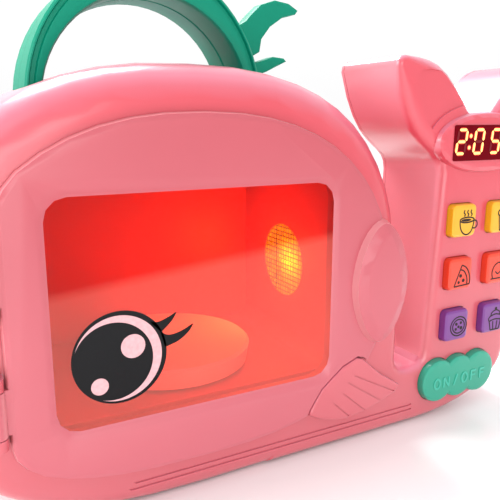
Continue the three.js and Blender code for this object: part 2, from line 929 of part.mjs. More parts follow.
// The depth of the button board's front face, behind flange, travel, domes and mat.
function boardFront() {
  return wall + buttonFlangeThickness + buttonTravel + domeHeight + matThickness + seat * 3;
}

// Posts behind the button panel that carry the button board.
function boardPosts() {
  const radius = boardPostRadius;
  return boardPostHeights.flatMap((z) =>
    [-boardPostX, boardPostX].map((x) =>
      rod(buttonX + x, z, wall - bury, boardFront() - seat, radius, radius, smallSteps),
    ),
  );
}

// The slot that the door's catch passes through, wider on the side its arc needs.
function catchSlot(y0, y1) {
  const side = tongueThickness / 2 + tongueBarb + slack;
  const height = tongueHalfHeight + slack;
  return box(catchX - side, catchX + side + tongueSwing, y0, y1, catchZ - height, catchZ + height);
}

// Where the fin's two pegs sit.
function finPegs() {
  const shares = [
    [0.42, 0.42],
    [0.76, 0.36],
  ];
  return shares.map(([right, up]) => at(finLeft + finWidth * right, finLow + finHeight * up));
}

// The front casing: head front, base band, tail column, flukes and display bezel in one moulding.
function frontCasing() {
  const tailBack = tailDepth - coverThickness - seat;
  const headFront = head().intersect(layer(-overrun, headSplit));
  const outer = headFront.add(tail().intersect(layer(-overrun, tailBack)));
  const bosses = casingScrewPlaces().map(([x, z]) =>
    rod(x, z, wall - bury, headSplit - seat, bossRadius, bossRadius, smallSteps),
  );
  const coverBosses = coverScrewPlaces().map(([x, z]) =>
    rod(x, z, wall - bury, tailBack - seat, coverBossRadius, coverBossRadius, smallSteps),
  );
  const inside = [...bosses, ...handleShelves()].map((body) => body.intersect(head(bury)));
  const bore = screwRadius + seat;
  const bores = casingScrewPlaces().map(([x, z]) =>
    rod(x, z, headSplit - screwGrip - bury, headSplit + overrun, bore, bore, smallSteps),
  );
  const coverBores = coverScrewPlaces().map(([x, z]) =>
    rod(x, z, tailBack - coverScrewGrip - bury, tailBack + overrun, bore, bore, smallSteps),
  );
  const mouthOutline = roundedRectangle(-mouthHalfWidth, mouthHalfWidth, mouthLow, mouthHigh, mouthRound);
  const buttonHoles = buttonNumbers().map(([row, column]) =>
    slab(buttonOutline(row, column, buttonHole), -overrun, wall + bury),
  );
  const flangeRooms = buttonNumbers().map(([row, column]) =>
    slab(buttonOutline(row, column, buttonFlange + seat), wall, boardFront() - matThickness),
  );
  const pegHoles = finPegs().map((peg) =>
    rod(peg.x, peg.y, -overrun, wall + bury, finPegRadius + seat, finPegRadius + seat, smallSteps),
  );
  const cuts = [
    slab(mouthOutline, -overrun, wall + overrun),
    ...buttonHoles,
    ...flangeRooms,
    ...pegHoles,
    ...bores,
    ...coverBores,
    slab(displayOutline(), -overrun * 2, boardFront()),
    startPrism(-overrun, wall + buttonFlangeThickness + buttonTravel + slack * 2, buttonHole),
    catchSlot(-overrun, wall + bury),
    ...footPockets((y) => y < headSplit),
    handleRoom(legFoot() - seat, seat),
    ...bandLineHeights.map((z, i) => bandLine(z, bandLineLeft + i * bandLineSlant)),
    flukePanels(),
  ];
  const hollow = head(wall).add(tailHollow());
  const shell = join([outer.subtract(hollow), displayBezel(), ...inside, ...coverBosses]);
  return join([shell.subtract(join(cuts)), ...hingeEars(), ...boardPosts()]);
}

// Half of the battery compartment's length and width inside.
function compartmentHalf() {
  return [cellPitch * (cellCount / 2) + seat * 2, cellLength / 2 + boxEndRoom];
}

// A box in plan view round the compartment's middle.
function compartmentBox(halfWidth, halfLength, z0, z1) {
  return box(boxX - halfWidth, boxX + halfWidth, boxY - halfLength, boxY + halfLength, z0, z1);
}

// The middle of the battery door's screw.
function batteryScrewPlace() {
  return [boxX - batteryDoorHalfWidth - batteryScrewX + bury * 2, boxY + batteryScrewY];
}

// The battery door's plate with the tab for its screw, grown by a gap.
function batteryPlate(z0, z1, gap = 0) {
  const [x, y] = batteryScrewPlace();
  const plate = compartmentBox(batteryDoorHalfWidth + gap, batteryDoorHalfLength + gap, z0, z1);
  return plate.add(post(x, y, z0, z1, batteryTab + gap));
}

// The compartment's walls and the thick floor that frames its opening.
function compartmentWalls() {
  const [halfWidth, halfLength] = compartmentHalf();
  const frame = batteryDoorLip * 2;
  const [x, y] = batteryScrewPlace();
  return join([
    compartmentBox(halfWidth + boxWall, halfLength + boxWall, underside, boxRoof + boxWall),
    compartmentBox(batteryDoorHalfWidth + frame, halfLength + boxWall, underside, underside + boxFrame),
    post(x, y, underside, boxRoof, batteryTab, bossRadius),
  ]);
}

// The rooms and openings of the battery compartment.
function compartmentCuts() {
  const [halfWidth, halfLength] = compartmentHalf();
  const [x, y] = batteryScrewPlace();
  const lip = batteryDoorLip;
  const frameTop = underside + boxFrame;
  const bore = screwRadius + seat;
  return [
    compartmentBox(halfWidth, halfLength, frameTop, boxRoof),
    compartmentBox(batteryDoorHalfWidth - lip, batteryDoorHalfLength - lip, -overrun, frameTop + bury),
    batteryPlate(-overrun, underside + batteryDoorThickness + seat, seat),
    post(x, y, underside, boxRoof - boxWall, bore, bore, smallSteps),
  ];
}

// Places of the round holes over the loudspeaker, in rings.
function speakerHoles() {
  const places = [at(speakerX, speakerZ)];
  speakerRings.forEach((count, ring) => {
    for (let i = 0; i < count; i++) {
      const angle = (i / count) * Math.PI * 2;
      const radius = speakerHolePitch * (ring + 1);
      places.push(at(speakerX + radius * Math.cos(angle), speakerZ + radius * Math.sin(angle)));
    }
  });
  return places;
}

// The rear casing with its screw wells, battery compartment and loudspeaker grille.
function rearCasing() {
  const front = headSplit + seat;
  const shell = head().subtract(head(wall)).intersect(layer(front, headDepth + overrun));
  const back = headDepth - wall / 2;
  const wells = casingScrewPlaces().map(([x, z]) =>
    rod(x, z, front, back, wellRadius + wellWall, wellRadius + wellWall, smallSteps + 4),
  );
  const ring = speakerRadius + seat + speakerRing;
  const collar = rod(speakerX, speakerZ, headDepth - wall - speakerRim, back, ring).subtract(
    rod(speakerX, speakerZ, front, headDepth, speakerRadius + seat),
  );
  const inside = [...wells, collar].map((body) => body.intersect(head(bury)));
  const bore = screwRadius + seat;
  const grilleFront = headDepth - wall - bury;
  const cuts = [
    ...casingScrewPlaces().map(([x, z]) =>
      rod(x, z, front + wellFloor, headDepth + overrun, wellRadius, wellRadius, smallSteps + 4),
    ),
    ...casingScrewPlaces().map(([x, z]) => rod(x, z, front - overrun, headDepth, bore, bore, smallSteps)),
    ...speakerHoles().map((hole) =>
      rod(hole.x, hole.y, grilleFront, headDepth + overrun, speakerHoleRadius, speakerHoleRadius, tinySteps),
    ),
    ...compartmentCuts(),
    ...footPockets((y) => y > headSplit),
    handleRoom(legFoot() - seat, seat),
    slab(shrunk(tailOutline(), -seat), -overrun, tailDepth + seat),
  ];
  const compartment = compartmentWalls().intersect(head()).intersect(layer(front, headDepth));
  return join([shell, compartment, ...inside]).subtract(join(cuts));
}

// The plate that closes the tail at the back, with holes for its screws.
function tailCover() {
  const front = tailDepth - coverThickness;
  const plate = slab(tailOutline(), front - overrun, tailDepth).intersect(layer(front, tailDepth + overrun));
  const bore = screwRadius + seat;
  const sink = screwHead + seat;
  const holes = coverScrewPlaces().flatMap(([x, z]) => [
    rod(x, z, front - bury, tailDepth + bury, bore, bore, smallSteps),
    rod(x, z, tailDepth - screwHeadHeight / 2, tailDepth + bury, sink, sink, smallSteps + 4),
  ]);
  return plate.subtract(join([head(-seat), ...holes]));
}

// A screw along the depth with its head at the back and a cross in it.
function screw(x, z, seatY, length, headRadius = screwHead, headHeight = screwHeadHeight) {
  const back = seatY + headHeight;
  const cross = [0, 1].map((turn) => {
    const across = turn ? screwSlot / 2 : headRadius * screwSlotShare;
    const up = turn ? headRadius * screwSlotShare : screwSlot / 2;
    return box(x - across, x + across, back - screwSlotDepth, back + bury, z - up, z + up);
  });
  return rod(x, z, seatY, back, headRadius, headRadius, smallSteps + 4)
    .add(rod(x, z, seatY - length, seatY + bury / 2, screwRadius / 2, screwRadius, smallSteps))
    .subtract(join(cross));
}

// The fin on the cheek, in shares of its width and height, counter-clockwise.
function finOutline() {
  const shares = [
    [0.49, 1],
    [0.34, 0.9],
    [0.13, 0.61],
    [0.01, 0.3],
    [0, 0.22],
    [0.14, 0.09],
    [0.28, 0.02],
    [0.43, 0],
    [0.63, 0.05],
    [0.95, 0.23],
    [1, 0.35],
    [0.76, 0.64],
    [0.55, 0.97],
  ];
  return shares.map(([right, up]) => at(finLeft + finWidth * right, finLow + finHeight * up));
}

// The fin with its four engraved lines and the pegs that hold it.
function sideFin() {
  const plate = slab(finOutline(), -finOut, -seat, finRound);
  const lines = [
    [0.47, 0.71, 0.93, 0.27],
    [0.4, 0.62, 0.81, 0.12],
    [0.35, 0.45, 0.6, 0.06],
    [0.26, 0.31, 0.42, 0.04],
  ];
  const grooves = lines.map(([x0, z0, x1, z1]) => {
    const from = at(finLeft + finWidth * x0, finLow + finHeight * z0);
    const to = at(finLeft + finWidth * x1, finLow + finHeight * z1);
    const side = to.clone().sub(from).normalize();
    const across = at(-side.y, side.x).multiplyScalar(finLineWidth / 2);
    const sideways = (point, way) => point.clone().addScaledVector(across, way);
    const outline = [sideways(from, -1), sideways(to, -1), sideways(to, 1), sideways(from, 1)];
    return slab(outline, -finOut - bury, -finOut + finLineDepth);
  });
  const pegs = finPegs().map((peg) =>
    rod(peg.x, peg.y, -seat - bury, -seat + finPegLength, finPegRadius, finPegRadius, smallSteps),
  );
  return join([plate, ...pegs]).subtract(join(grooves));
}

// The oven's cavity: a box with a low collar at the mouth, a hub hole and a lamp hole.
function cavityLiner() {
  const front = wall + seat;
  const w = linerWall;
  const side = mouthHalfWidth;
  const grown = (low, high, grow, radius) =>
    roundedRectangle(-side - grow, side + grow, low - grow, high + grow, radius + grow, 3);
  const flange = slab(grown(mouthLow, mouthHigh, w + linerFlange, mouthRound), front, front + w);
  const collar = slab(grown(mouthLow, mouthHigh, w, mouthRound), front, cavityFront + w);
  const main = slab(grown(cavityFloor, cavityRoof, w, cavityRound), cavityFront - w, cavityBack + w);
  const mouth = slab(grown(mouthLow, mouthHigh, 0, mouthRound), -overrun, cavityFront);
  const room = slab(grown(cavityFloor, cavityRoof, 0, cavityRound), cavityFront, cavityBack);
  const hub = spindleRadius + slack;
  return join([flange, collar, main]).subtract(
    join([
      mouth,
      room,
      post(tableX, tableY, cavityFloor - overrun, cavityFloor + overrun, hub),
      bar(side - overrun, side + overrun, lampY, lampZ, lensRadius + seat, lensRadius + seat, lensSteps),
    ]),
  );
}

// The clip behind the front wall that the door's catch snaps into.
function catchClip() {
  const front = wall + seat;
  const foot = front + clipThickness;
  const side = tongueThickness / 2 + tongueBarb + slack;
  const bottom = catchZ - clipHalfHeight;
  const top = catchZ + clipHalfHeight;
  const right = side + tongueSwing;
  const base = box(catchX - clipHalfWidth, catchX + clipHalfWidth, front, foot, bottom, top);
  const arm = (x0, x1) => box(x0, x1, front, clipBack, catchZ - tongueHalfHeight, catchZ + tongueHalfHeight);
  const left = arm(catchX - side - clipThickness, catchX - side);
  const other = arm(catchX + right, catchX + right + clipThickness);
  return join([base.subtract(catchSlot(front - bury, foot + bury)), left, other]);
}

// The pin of one hinge, with a head at its top.
function hingePin(z) {
  const reach = knuckleLength / 2 + slack / 2 + earLength;
  const top = z + reach + seat;
  const pin = post(hingeX, hingeY, z - reach, top + bury / 2, pinRadius, pinRadius, smallSteps);
  return pin.add(post(hingeX, hingeY, top, top + pinHeadHeight, pinHead, pinHead, smallSteps + 4));
}

// The door's outline: a superellipse cut off straight at the hinge edge, with round corners there.
function doorOutline() {
  const whole = [
    ...quarter(0, headMiddle, doorHalfWidth, doorCrown, doorTopPower, 0, doorSteps),
    ...quarter(0, headMiddle, doorHalfWidth, doorCrown, doorTopPower, 1, doorSteps),
    ...quarter(0, headMiddle, doorHalfWidth, doorBelly, doorHingePower, 2, doorSteps),
    ...quarter(0, headMiddle, doorHalfWidth, doorBelly, doorLatchPower, 3, doorSteps),
  ];
  const edgeShare = Math.abs(doorHingeEdge) / doorHalfWidth;
  const height = (reach, power) => reach * (1 - edgeShare ** power) ** (1 / power);
  const top = headMiddle + height(doorCrown, doorTopPower);
  const bottom = headMiddle - height(doorBelly, doorHingePower);
  const clear = (point) => point.x > doorHingeEdge + doorCorner;
  const firstHidden = whole.findIndex((point) => !clear(point));
  const lastHidden = whole.findLastIndex((point) => !clear(point));
  const before = whole.slice(0, firstHidden);
  const after = whole.slice(lastHidden + 1);
  return [
    ...before,
    ...bend(3, before.at(-1), at(doorHingeEdge, top), at(doorHingeEdge, top - doorCorner * 2)).slice(1),
    at(doorHingeEdge, top - doorCorner * 2),
    ...bend(3, at(doorHingeEdge, bottom + doorCorner * 2), at(doorHingeEdge, bottom), after[0]),
    ...after,
  ];
}

// The outline of the door's window, grown by a margin.
function glassOutline(grow = 0) {
  const half = glassHalfWidth + grow;
  return roundedRectangle(-half, half, glassLow - grow, glassHigh + grow, glassCorner + grow / 2, 3);
}

// The bevelled opening of the door's window.
function glassOpening() {
  const slope = rimWidth / (paneFront - seat - doorFront);
  const ring = (y, grow) => glassOutline(grow).map((point) => new THREE.Vector3(point.x, y, point.y));
  return frontLoft([
    ring(doorFront - bury, rimWidth + slope * bury),
    ring(paneFront - seat, 0),
    ring(plugBack + bury, 0),
  ]);
}

// The thin collar behind the door that reaches into the oven's mouth.
function doorPlug() {
  const half = mouthHalfWidth - plugGap;
  const low = mouthLow + plugGap;
  const high = mouthHigh - plugGap;
  const round = mouthRound - plugGap;
  return slab(roundedRectangle(-half, half, low, high, round, 3), doorBack - bury, plugBack);
}

// The pull tab at the door's free edge.
function doorTab() {
  const outline = oval(tabX, tabZ, tabHalfWidth, tabHalfHeight, tabPower, tinySteps);
  return slab(outline, -tabBulge, doorBack, tabRound);
}

// The door with window opening, plug collar, hinge knuckles, pull tab and the fin's notch.
function doorFrame() {
  const plate = slab(doorOutline(), doorFront, doorBack, doorRound);
  const pocket = slab(glassOutline(paneOverlap + seat), paneFront - seat, plugBack + bury);
  const catchBack = doorBack - catchPlate - seat;
  const catchPocket = box(
    catchX - catchHalfWidth - seat,
    catchX + catchHalfWidth + seat,
    catchBack,
    doorBack + bury,
    catchZ - catchHalfHeight - seat,
    catchZ + catchHalfHeight + seat,
  );
  const knuckles = knuckleHeights.map((z) => {
    const low = z - knuckleLength / 2;
    const high = z + knuckleLength / 2;
    const barrel = post(hingeX, hingeY, low, high, barrelRadius, barrelRadius, smallSteps * 2);
    return barrel.add(box(hingeX, doorHingeEdge + doorRound + bury, hingeY, doorBack, low, high));
  });
  const bore = pinRadius + seat + seat / 2;
  const bores = knuckleHeights.map((z) =>
    post(hingeX, hingeY, z - knuckleLength, z + knuckleLength, bore, bore, smallSteps),
  );
  const notch = slab(shrunk(finOutline(), -finGap), doorFront - overrun, plugBack + bury);
  return join([plate, doorPlug(), doorTab(), ...knuckles]).subtract(
    join([glassOpening(), pocket, catchPocket, notch, ...bores]),
  );
}

// The clear red pane of the door.
function doorWindow() {
  return slab(glassOutline(paneOverlap), paneFront, paneFront + paneThickness);
}

// The barbed catch let into the back of the door.
function doorCatch() {
  const front = doorBack - catchPlate;
  const bottom = catchZ - tongueHalfHeight;
  const top = catchZ + tongueHalfHeight;
  const half = tongueThickness / 2;
  const plate = box(
    catchX - catchHalfWidth,
    catchX + catchHalfWidth,
    front,
    doorBack,
    catchZ - catchHalfHeight,
    catchZ + catchHalfHeight,
  );
  const barb = half + tongueBarb;
  const outline = [
    at(catchX - half, front + bury / 2),
    at(catchX + half, front + bury / 2),
    at(catchX + half, tongueTip - tongueBarb * 3),
    at(catchX + barb, tongueTip - tongueBarb * 2),
    at(catchX + half / 2, tongueTip),
    at(catchX - half / 2, tongueTip),
    at(catchX - barb, tongueTip - tongueBarb * 2),
    at(catchX - half, tongueTip - tongueBarb * 3),
  ];
  return plate.add(plan(outline, bottom, top));
}

// The turntable: a shallow plate, hollow underneath, with a socket for the spindle.
function turntablePlate() {
  const edge = tableHigh - tableEdgeRound;
  const rim = tableRadius - tableEdgeRound;
  const body = join([
    post(tableX, tableY, tableLow, edge, tableRadius - tableTaper, tableRadius, tableSteps),
    post(tableX, tableY, edge - weld, tableHigh, tableRadius, rim, tableSteps),
  ]);
  const inner = tableRadius - tableTaper - tableSkin;
  const hollow = post(tableX, tableY, tableLow - bury, tableHigh - tableSkin, inner, inner, tableSteps);
  const hub = post(tableX, tableY, tableLow, tableHigh - tableSkin + bury, hubRadius);
  return body.subtract(hollow).add(hub).subtract(spindle(tableLow - bury, spindleTop + seat, seat));
}

// The spindle's top, round with two flats, grown by a gap.
function spindle(z0, z1, gap = 0) {
  const radius = spindleRadius + gap;
  const flat = spindleFlat + gap;
  const slice = box(tableX - flat, tableX + flat, tableY - radius * 2, tableY + radius * 2, z0, z1);
  return post(tableX, tableY, z0, z1, radius).intersect(slice);
}

// The outline of a gear in plan view, with a tooth centred on the given turn.
function gearOutline(x, y, teeth, turn) {
  const module = (gearRadius * 2) / gearTeeth;
  const pitchRadius = (module * teeth) / 2;
  const rootShare = 1.25; // of the module, from the pitch circle down to the root
  const flankShare = Math.tan(THREE.MathUtils.degToRad(pressureAngle));
  const thick = (module * Math.PI) / 4 - gearBacklash / 2;
  const corners = [
    [pitchRadius - module * rootShare, thick + module * rootShare * flankShare],
    [pitchRadius + module, thick - module * flankShare],
  ];
  const points = [];
  for (let tooth = 0; tooth < teeth; tooth++) {
    const middle = turn + (tooth / teeth) * Math.PI * 2;
    const flank = (side) => ([radius, half]) => {
      const angle = middle + (side * half) / radius;
      return at(x + radius * Math.cos(angle), y + radius * Math.sin(angle));
    };
    points.push(...corners.map(flank(-1)), ...corners.toReversed().map(flank(1)));
  }
  return points;
}

// The gear under the cavity, with the spindle that carries the turntable.
function driveGear() {
  const shoulderTop = cavityFloor - linerWall - slack;
  const parts = [
    plan(gearOutline(tableX, tableY, gearTeeth, -Math.PI / 2), gearLow, gearHigh),
    post(tableX, tableY, gearHigh - bury, shoulderTop, hubRadius),
    post(tableX, tableY, trayHigh + seat, gearLow + bury, gearHub),
    post(tableX, tableY, trayLow, trayHigh + seat + bury, journalRadius, journalRadius, smallSteps + 4),
    post(tableX, tableY, gearHigh, cavityFloor + seat, spindleRadius),
    spindle(cavityFloor, spindleTop),
  ];
  return join(parts);
}

// Distance of the pinion from the turntable's axis.
function gearDistance() {
  return gearRadius * (1 + pinionTeeth / gearTeeth) + gearBacklash / 2;
}

// The motor's pinion with its shaft.
function motorPinion() {
  const y = tableY - gearDistance();
  const halfTooth = Math.PI / pinionTeeth;
  const outline = gearOutline(tableX, y, pinionTeeth, Math.PI / 2 + halfTooth);
  const gear = plan(outline, gearLow - seat, gearHigh + seat);
  return gear.add(post(tableX, y, trayLow - motorNose, gearLow, shaftRadius, shaftRadius, smallSteps));
}

// The motor with a nose that guides the pinion's shaft.
function gearMotor() {
  const y = tableY - gearDistance();
  const top = trayLow - seat;
  const flats = box(tableX - motorRadius, tableX + motorRadius, y - motorFlat, y + motorFlat, motorLow, top);
  const can = post(tableX, y, motorLow, top, motorRadius).intersect(flats);
  const nose = post(tableX, y, top - bury, trayHigh, motorNose, motorNose, smallSteps + 4);
  const bore = shaftRadius + slack / 2;
  const tail = post(tableX, y, motorLow - bury * 2, motorLow + bury, motorNose, motorNose, smallSteps + 4);
  return join([can, nose, tail]).subtract(
    post(tableX, y, trayLow - motorNose - bury, trayHigh + bury, bore, bore, smallSteps + 4),
  );
}

// The tray under the gears, hung from the cavity's floor by four posts.
function gearboxTray() {
  const y = tableY - gearDistance();
  const top = cavityFloor - linerWall - seat;
  const front = tableY - trayFrontReach;
  const back = tableY + trayBackReach;
  const plate = box(tableX - trayHalfWidth, tableX + trayHalfWidth, front, back, trayLow, trayHigh);
  const posts = [-1, 1].flatMap((side) =>
    [-1, 1].map((way) =>
      post(
        tableX + side * trayPostPlace,
        tableY + way * trayPostPlace,
        trayHigh - bury,
        top,
        trayPostRadius,
        trayPostRadius,
        smallSteps,
      ),
    ),
  );
  const bore = journalRadius + slack / 2;
  const holes = [
    post(tableX, tableY, trayLow - bury, trayHigh + bury, bore, bore, smallSteps + 4),
    post(tableX, y, trayLow - bury, trayHigh + bury, motorNose + seat, motorNose + seat, smallSteps + 4),
  ];
  return join([plate, ...posts]).subtract(join(holes));
}

// The lamp's lens: a disc let into the cavity's wall, cut on its face into small squares.
function lampLens() {
  const inner = mouthHalfWidth + seat;
  const flangeLeft = mouthHalfWidth + linerWall + seat;
  const flangeRight = flangeLeft + lensFlangeThickness;
  const body = bar(inner, flangeRight, lampY, lampZ, lensRadius, lensRadius, lensSteps);
  const reach = lensRadius + lensFlange;
  const rim = bar(flangeLeft, flangeRight, lampY, lampZ, reach, reach, lensSteps);
  const half = lensRadius + bury;
  const groove = lensGrooveWidth / 2;
  const lines = [];
  for (let i = 0; i < lensGrooves; i++) {
    const offset = ((i + 1) / (lensGrooves + 1)) * lensRadius * 2 - lensRadius;
    const depth = inner + lensGrooveDepth;
    const y = lampY + offset;
    const z = lampZ + offset;
    lines.push(box(inner - bury, depth, y - groove, y + groove, lampZ - half, lampZ + half));
    lines.push(box(inner - bury, depth, lampY - half, lampY + half, z - groove, z + groove));
  }
  return body.add(rim).subtract(join(lines));
}

// Where the reflector starts, behind the lens.
function reflectorLeft() {
  return mouthHalfWidth + linerWall + lensFlangeThickness + seat * 2;
}

// The conical reflector behind the lens, open at both ends.
function lampReflector() {
  const left = reflectorLeft();
  const right = left + reflectorDepth;
  const steps = circleSteps;
  const outer = bar(left, right, lampY, lampZ, lensRadius, reflectorNeck, steps);
  const inner = bar(
    left - weld,
    right + weld,
    lampY,
    lampZ,
    lensRadius - reflectorWall,
    reflectorNeck - reflectorWall,
    steps,
  );
  return outer.subtract(inner);
}

// The lamp's light-emitting diode in the reflector's neck.
function lampLed() {
  const right = reflectorLeft() + reflectorDepth + bury;
  const left = right - ledLength;
  const dome = new THREE.SphereGeometry(ledRadius, smallSteps, smallSteps / 2);
  dome.translate(left, lampY, lampZ);
  return join([
    solid(dome),
    bar(left, right, lampY, lampZ, ledRadius, ledRadius, smallSteps),
    bar(right - bury / 2, right + bury, lampY, lampZ, reflectorNeck, reflectorNeck, smallSteps + 4),
  ]);
}

// The display's red window with a flange behind the casing on both sides.
function displayWindow() {
  const front = wall + seat;
  const reach = displayHalfWidth + buttonFlange;
  const low = bezelZ - displayHalfFlange;
  const high = bezelZ + displayHalfFlange;
  return slab(displayOutline(seat), displayFront, front + displayFlange).add(
    box(bezelX - reach, bezelX + reach, front, front + displayFlange, low, high),
  );
}

// The block of display digits on the board.
function displayModule() {
  const front = wall + displayFlange + seat * 2;
  return box(
    bezelX - moduleHalfWidth,
    bezelX + moduleHalfWidth,
    front,
    boardFront() - seat,
    bezelZ - moduleHalfHeight,
    bezelZ + moduleHalfHeight,
  );
}

// A square push button with the flange that keeps it in its hole.
function pushButton(row, column) {
  const front = wall + seat;
  const back = front + buttonFlangeThickness;
  const cap = slab(buttonOutline(row, column), -buttonOut, back, buttonRound);
  return cap.add(slab(buttonOutline(row, column, buttonFlange), front, back));
}

// The long start and stop button, with a flange at its middle height.
function startButton() {
  const front = wall + seat;
  const back = front + buttonFlangeThickness;
  const reach = startPitch + startLobe * 2;
  const middle = box(startX - reach, startX + reach, front, back, startFlangeLow, startFlangeHigh);
  const flange = startPrism(front, back, buttonFlange).intersect(middle);
  return startPrism(-buttonOut, back, 0, startRound).add(flange);
}

// The rubber mat with a dome behind every button.
function keypadMat() {
  const back = boardFront() - seat;
  const front = back - matThickness;
  const sheet = box(buttonX - matHalfWidth, buttonX + matHalfWidth, front, back, matLow, matHigh);
  const strip = box(startX - matStripHalf, startX + matStripHalf, front, back, matStripLow, matLow + bury);
  const places = [...buttonNumbers().map(([row, column]) => buttonPlace(row, column)), [startX, startZ]];
  const domes = places.map(([x, z]) =>
    rod(x, z, front - domeHeight, front + bury / 2, domeTop, domeRadius, smallSteps),
  );
  return join([sheet, strip, ...domes]);
}

// The circuit board behind the mat, from the display down to the start and stop button.
function buttonBoard() {
  const front = boardFront();
  const back = front + boardThickness;
  const sheet = box(buttonX - boardHalfWidth, buttonX + boardHalfWidth, front, back, boardLow, boardHigh);
  const half = matStripHalf * 2;
  const strip = box(startX - half, startX + half, front, back, matStripLow - bury, boardLow + bury);
  return sheet.add(strip);
}

// The loudspeaker: a dish with a magnet, its open side to the rear wall.
function speaker() {
  const back = headDepth - wall - seat;
  const rim = back - speakerRim;
  const deep = back - speakerDepth;
  const basket = rod(speakerX, speakerZ, deep, rim + bury / 2, speakerMagnet, speakerRadius - bury);
  const edge = rod(speakerX, speakerZ, rim, back, speakerRadius);
  const mouth = speakerRadius - speakerRim;
  const dish = rod(speakerX, speakerZ, back - speakerRim * 2, back + bury, speakerMagnet / 2, mouth);
  return basket.add(edge).subtract(dish);
}

// One battery cell, lying from front to back, with its nub to the front or to the back.
function cell(number) {
  const x = boxX + (number - (cellCount - 1) / 2) * cellPitch;
  const way = number % 2 ? -1 : 1;
  const flatEnd = boxY - (way * cellLength) / 2;
  const shoulder = boxY + way * (cellLength / 2 - cellNubLength);
  const tip = boxY + (way * cellLength) / 2;
  const can = rod(x, cellZ, Math.min(flatEnd, shoulder), Math.max(flatEnd, shoulder), cellRadius);
  const inside = shoulder - way * bury;
  return can.add(rod(x, cellZ, Math.min(inside, tip), Math.max(inside, tip), cellNub, cellNub, smallSteps));
}

// The sprung contact strip at the front or the back end of the cells.
function contacts(way) {
  const [halfWidth, halfLength] = compartmentHalf();
  const outer = boxY + way * (halfLength - seat);
  const inner = outer - way * contactThickness;
  const low = Math.min(inner, outer);
  const high = Math.max(inner, outer);
  const reach = halfWidth - seat * 2;
  const bottom = cellZ - contactHalfHeight;
  const top = cellZ + contactHalfHeight;
  const strip = box(boxX - reach, boxX + reach, low, high, bottom, top);
  const bumps = [];
  for (let i = 0; i < cellCount; i++) {
    const x = boxX + (i - (cellCount - 1) / 2) * cellPitch;
    const tip = boxY + way * (cellLength / 2 + seat);
    const y0 = Math.min(tip, inner + way * weld);
    const y1 = Math.max(tip, inner + way * weld);
    const [front, back] = way > 0 ? [contactTip, cellNub] : [cellNub, contactTip];
    bumps.push(rod(x, cellZ, y0, y1, front, back, smallSteps));
  }
  return join([strip, ...bumps]);
}

// The battery door, let into the underside, with a sunk hole for its screw.
function batteryDoor() {
  const [x, y] = batteryScrewPlace();
  const top = underside + batteryDoorThickness;
  const bore = screwRadius + seat;
  const sink = screwHead + seat;
  return batteryPlate(underside, top).subtract(
    join([
      post(x, y, -overrun, top + bury, bore, bore, smallSteps),
      post(x, y, -overrun, underside + batteryScrewHead + seat, sink, sink, smallSteps + 4),
    ]),
  );
}

// The battery door's screw, with its head in the underside.
function batteryDoorScrew() {
  const [x, y] = batteryScrewPlace();
  const top = underside + batteryScrewHead;
  const reach = screwHead * screwSlotShare;
  const slot = screwSlot / 2;
  const depth = underside + batteryScrewHead / 2;
  const head = post(x, y, underside, top, screwHead, screwHead, smallSteps + 4);
  const tip = boxRoof - boxWall - bury;
  const shank = post(x, y, top - bury / 2, tip, screwRadius, screwRadius / 2, smallSteps);
  return join([head, shank]).subtract(
    box(x - reach, x + reach, y - slot, y + slot, underside - bury, depth).add(
      box(x - slot, x + slot, y - reach, y + reach, underside - bury, depth),
    ),
  );
}

// A rubber foot in its pocket under the casing.
function foot(x, y) {
  return post(x, y, 0, underside + footPocket - seat, footRadius);
}

// A leaf whose corners are shares of the arch's half width from its centre, counter-clockwise.
function leaf(shares) {
  const outline = shares.map(([right, up]) => at(archX + archHalfWidth * right, archZ + archHalfWidth * up));
  return slab(outline, headSplit - leafHalfDepth, headSplit + leafHalfDepth, leafRound, leafRound);
}

// The two leaves on the right leg of the handle, with their roots inside the arch.
function leaves() {
  const upper = [
    [0.87, 0.39],
    [0.98, 0.42],
    [1.123, 0.499],
    [1.143, 0.612],
    [1.234, 0.726],
    [1.366, 0.815],
    [1.504, 0.852],
    [1.531, 0.889],
    [1.429, 0.943],
    [1.282, 0.96],
    [1.131, 0.911],
    [1.032, 0.82],
    [0.973, 0.758],
    [0.8, 0.66],
  ];
  const lower = [
    [0.93, 0.26],
    [1.06, 0.28],
    [1.197, 0.326],
    [1.309, 0.38],
    [1.412, 0.427],
    [1.383, 0.455],
    [1.267, 0.464],
    [1.155, 0.429],
    [1.04, 0.39],
    [0.91, 0.36],
  ];
  return [leaf(upper), leaf(lower)];
}

// The middle of each handle screw.
function handleScrewPlaces() {
  const turn = THREE.MathUtils.degToRad(handleScrewTurn);
  const across = (archHalfWidth - archFace / 2) * Math.cos(turn);
  const up = (archRise - archCrownFace / 2) * Math.sin(turn);
  return [-1, 1].map((hand) => [archX + hand * across, archZ + up]);
}

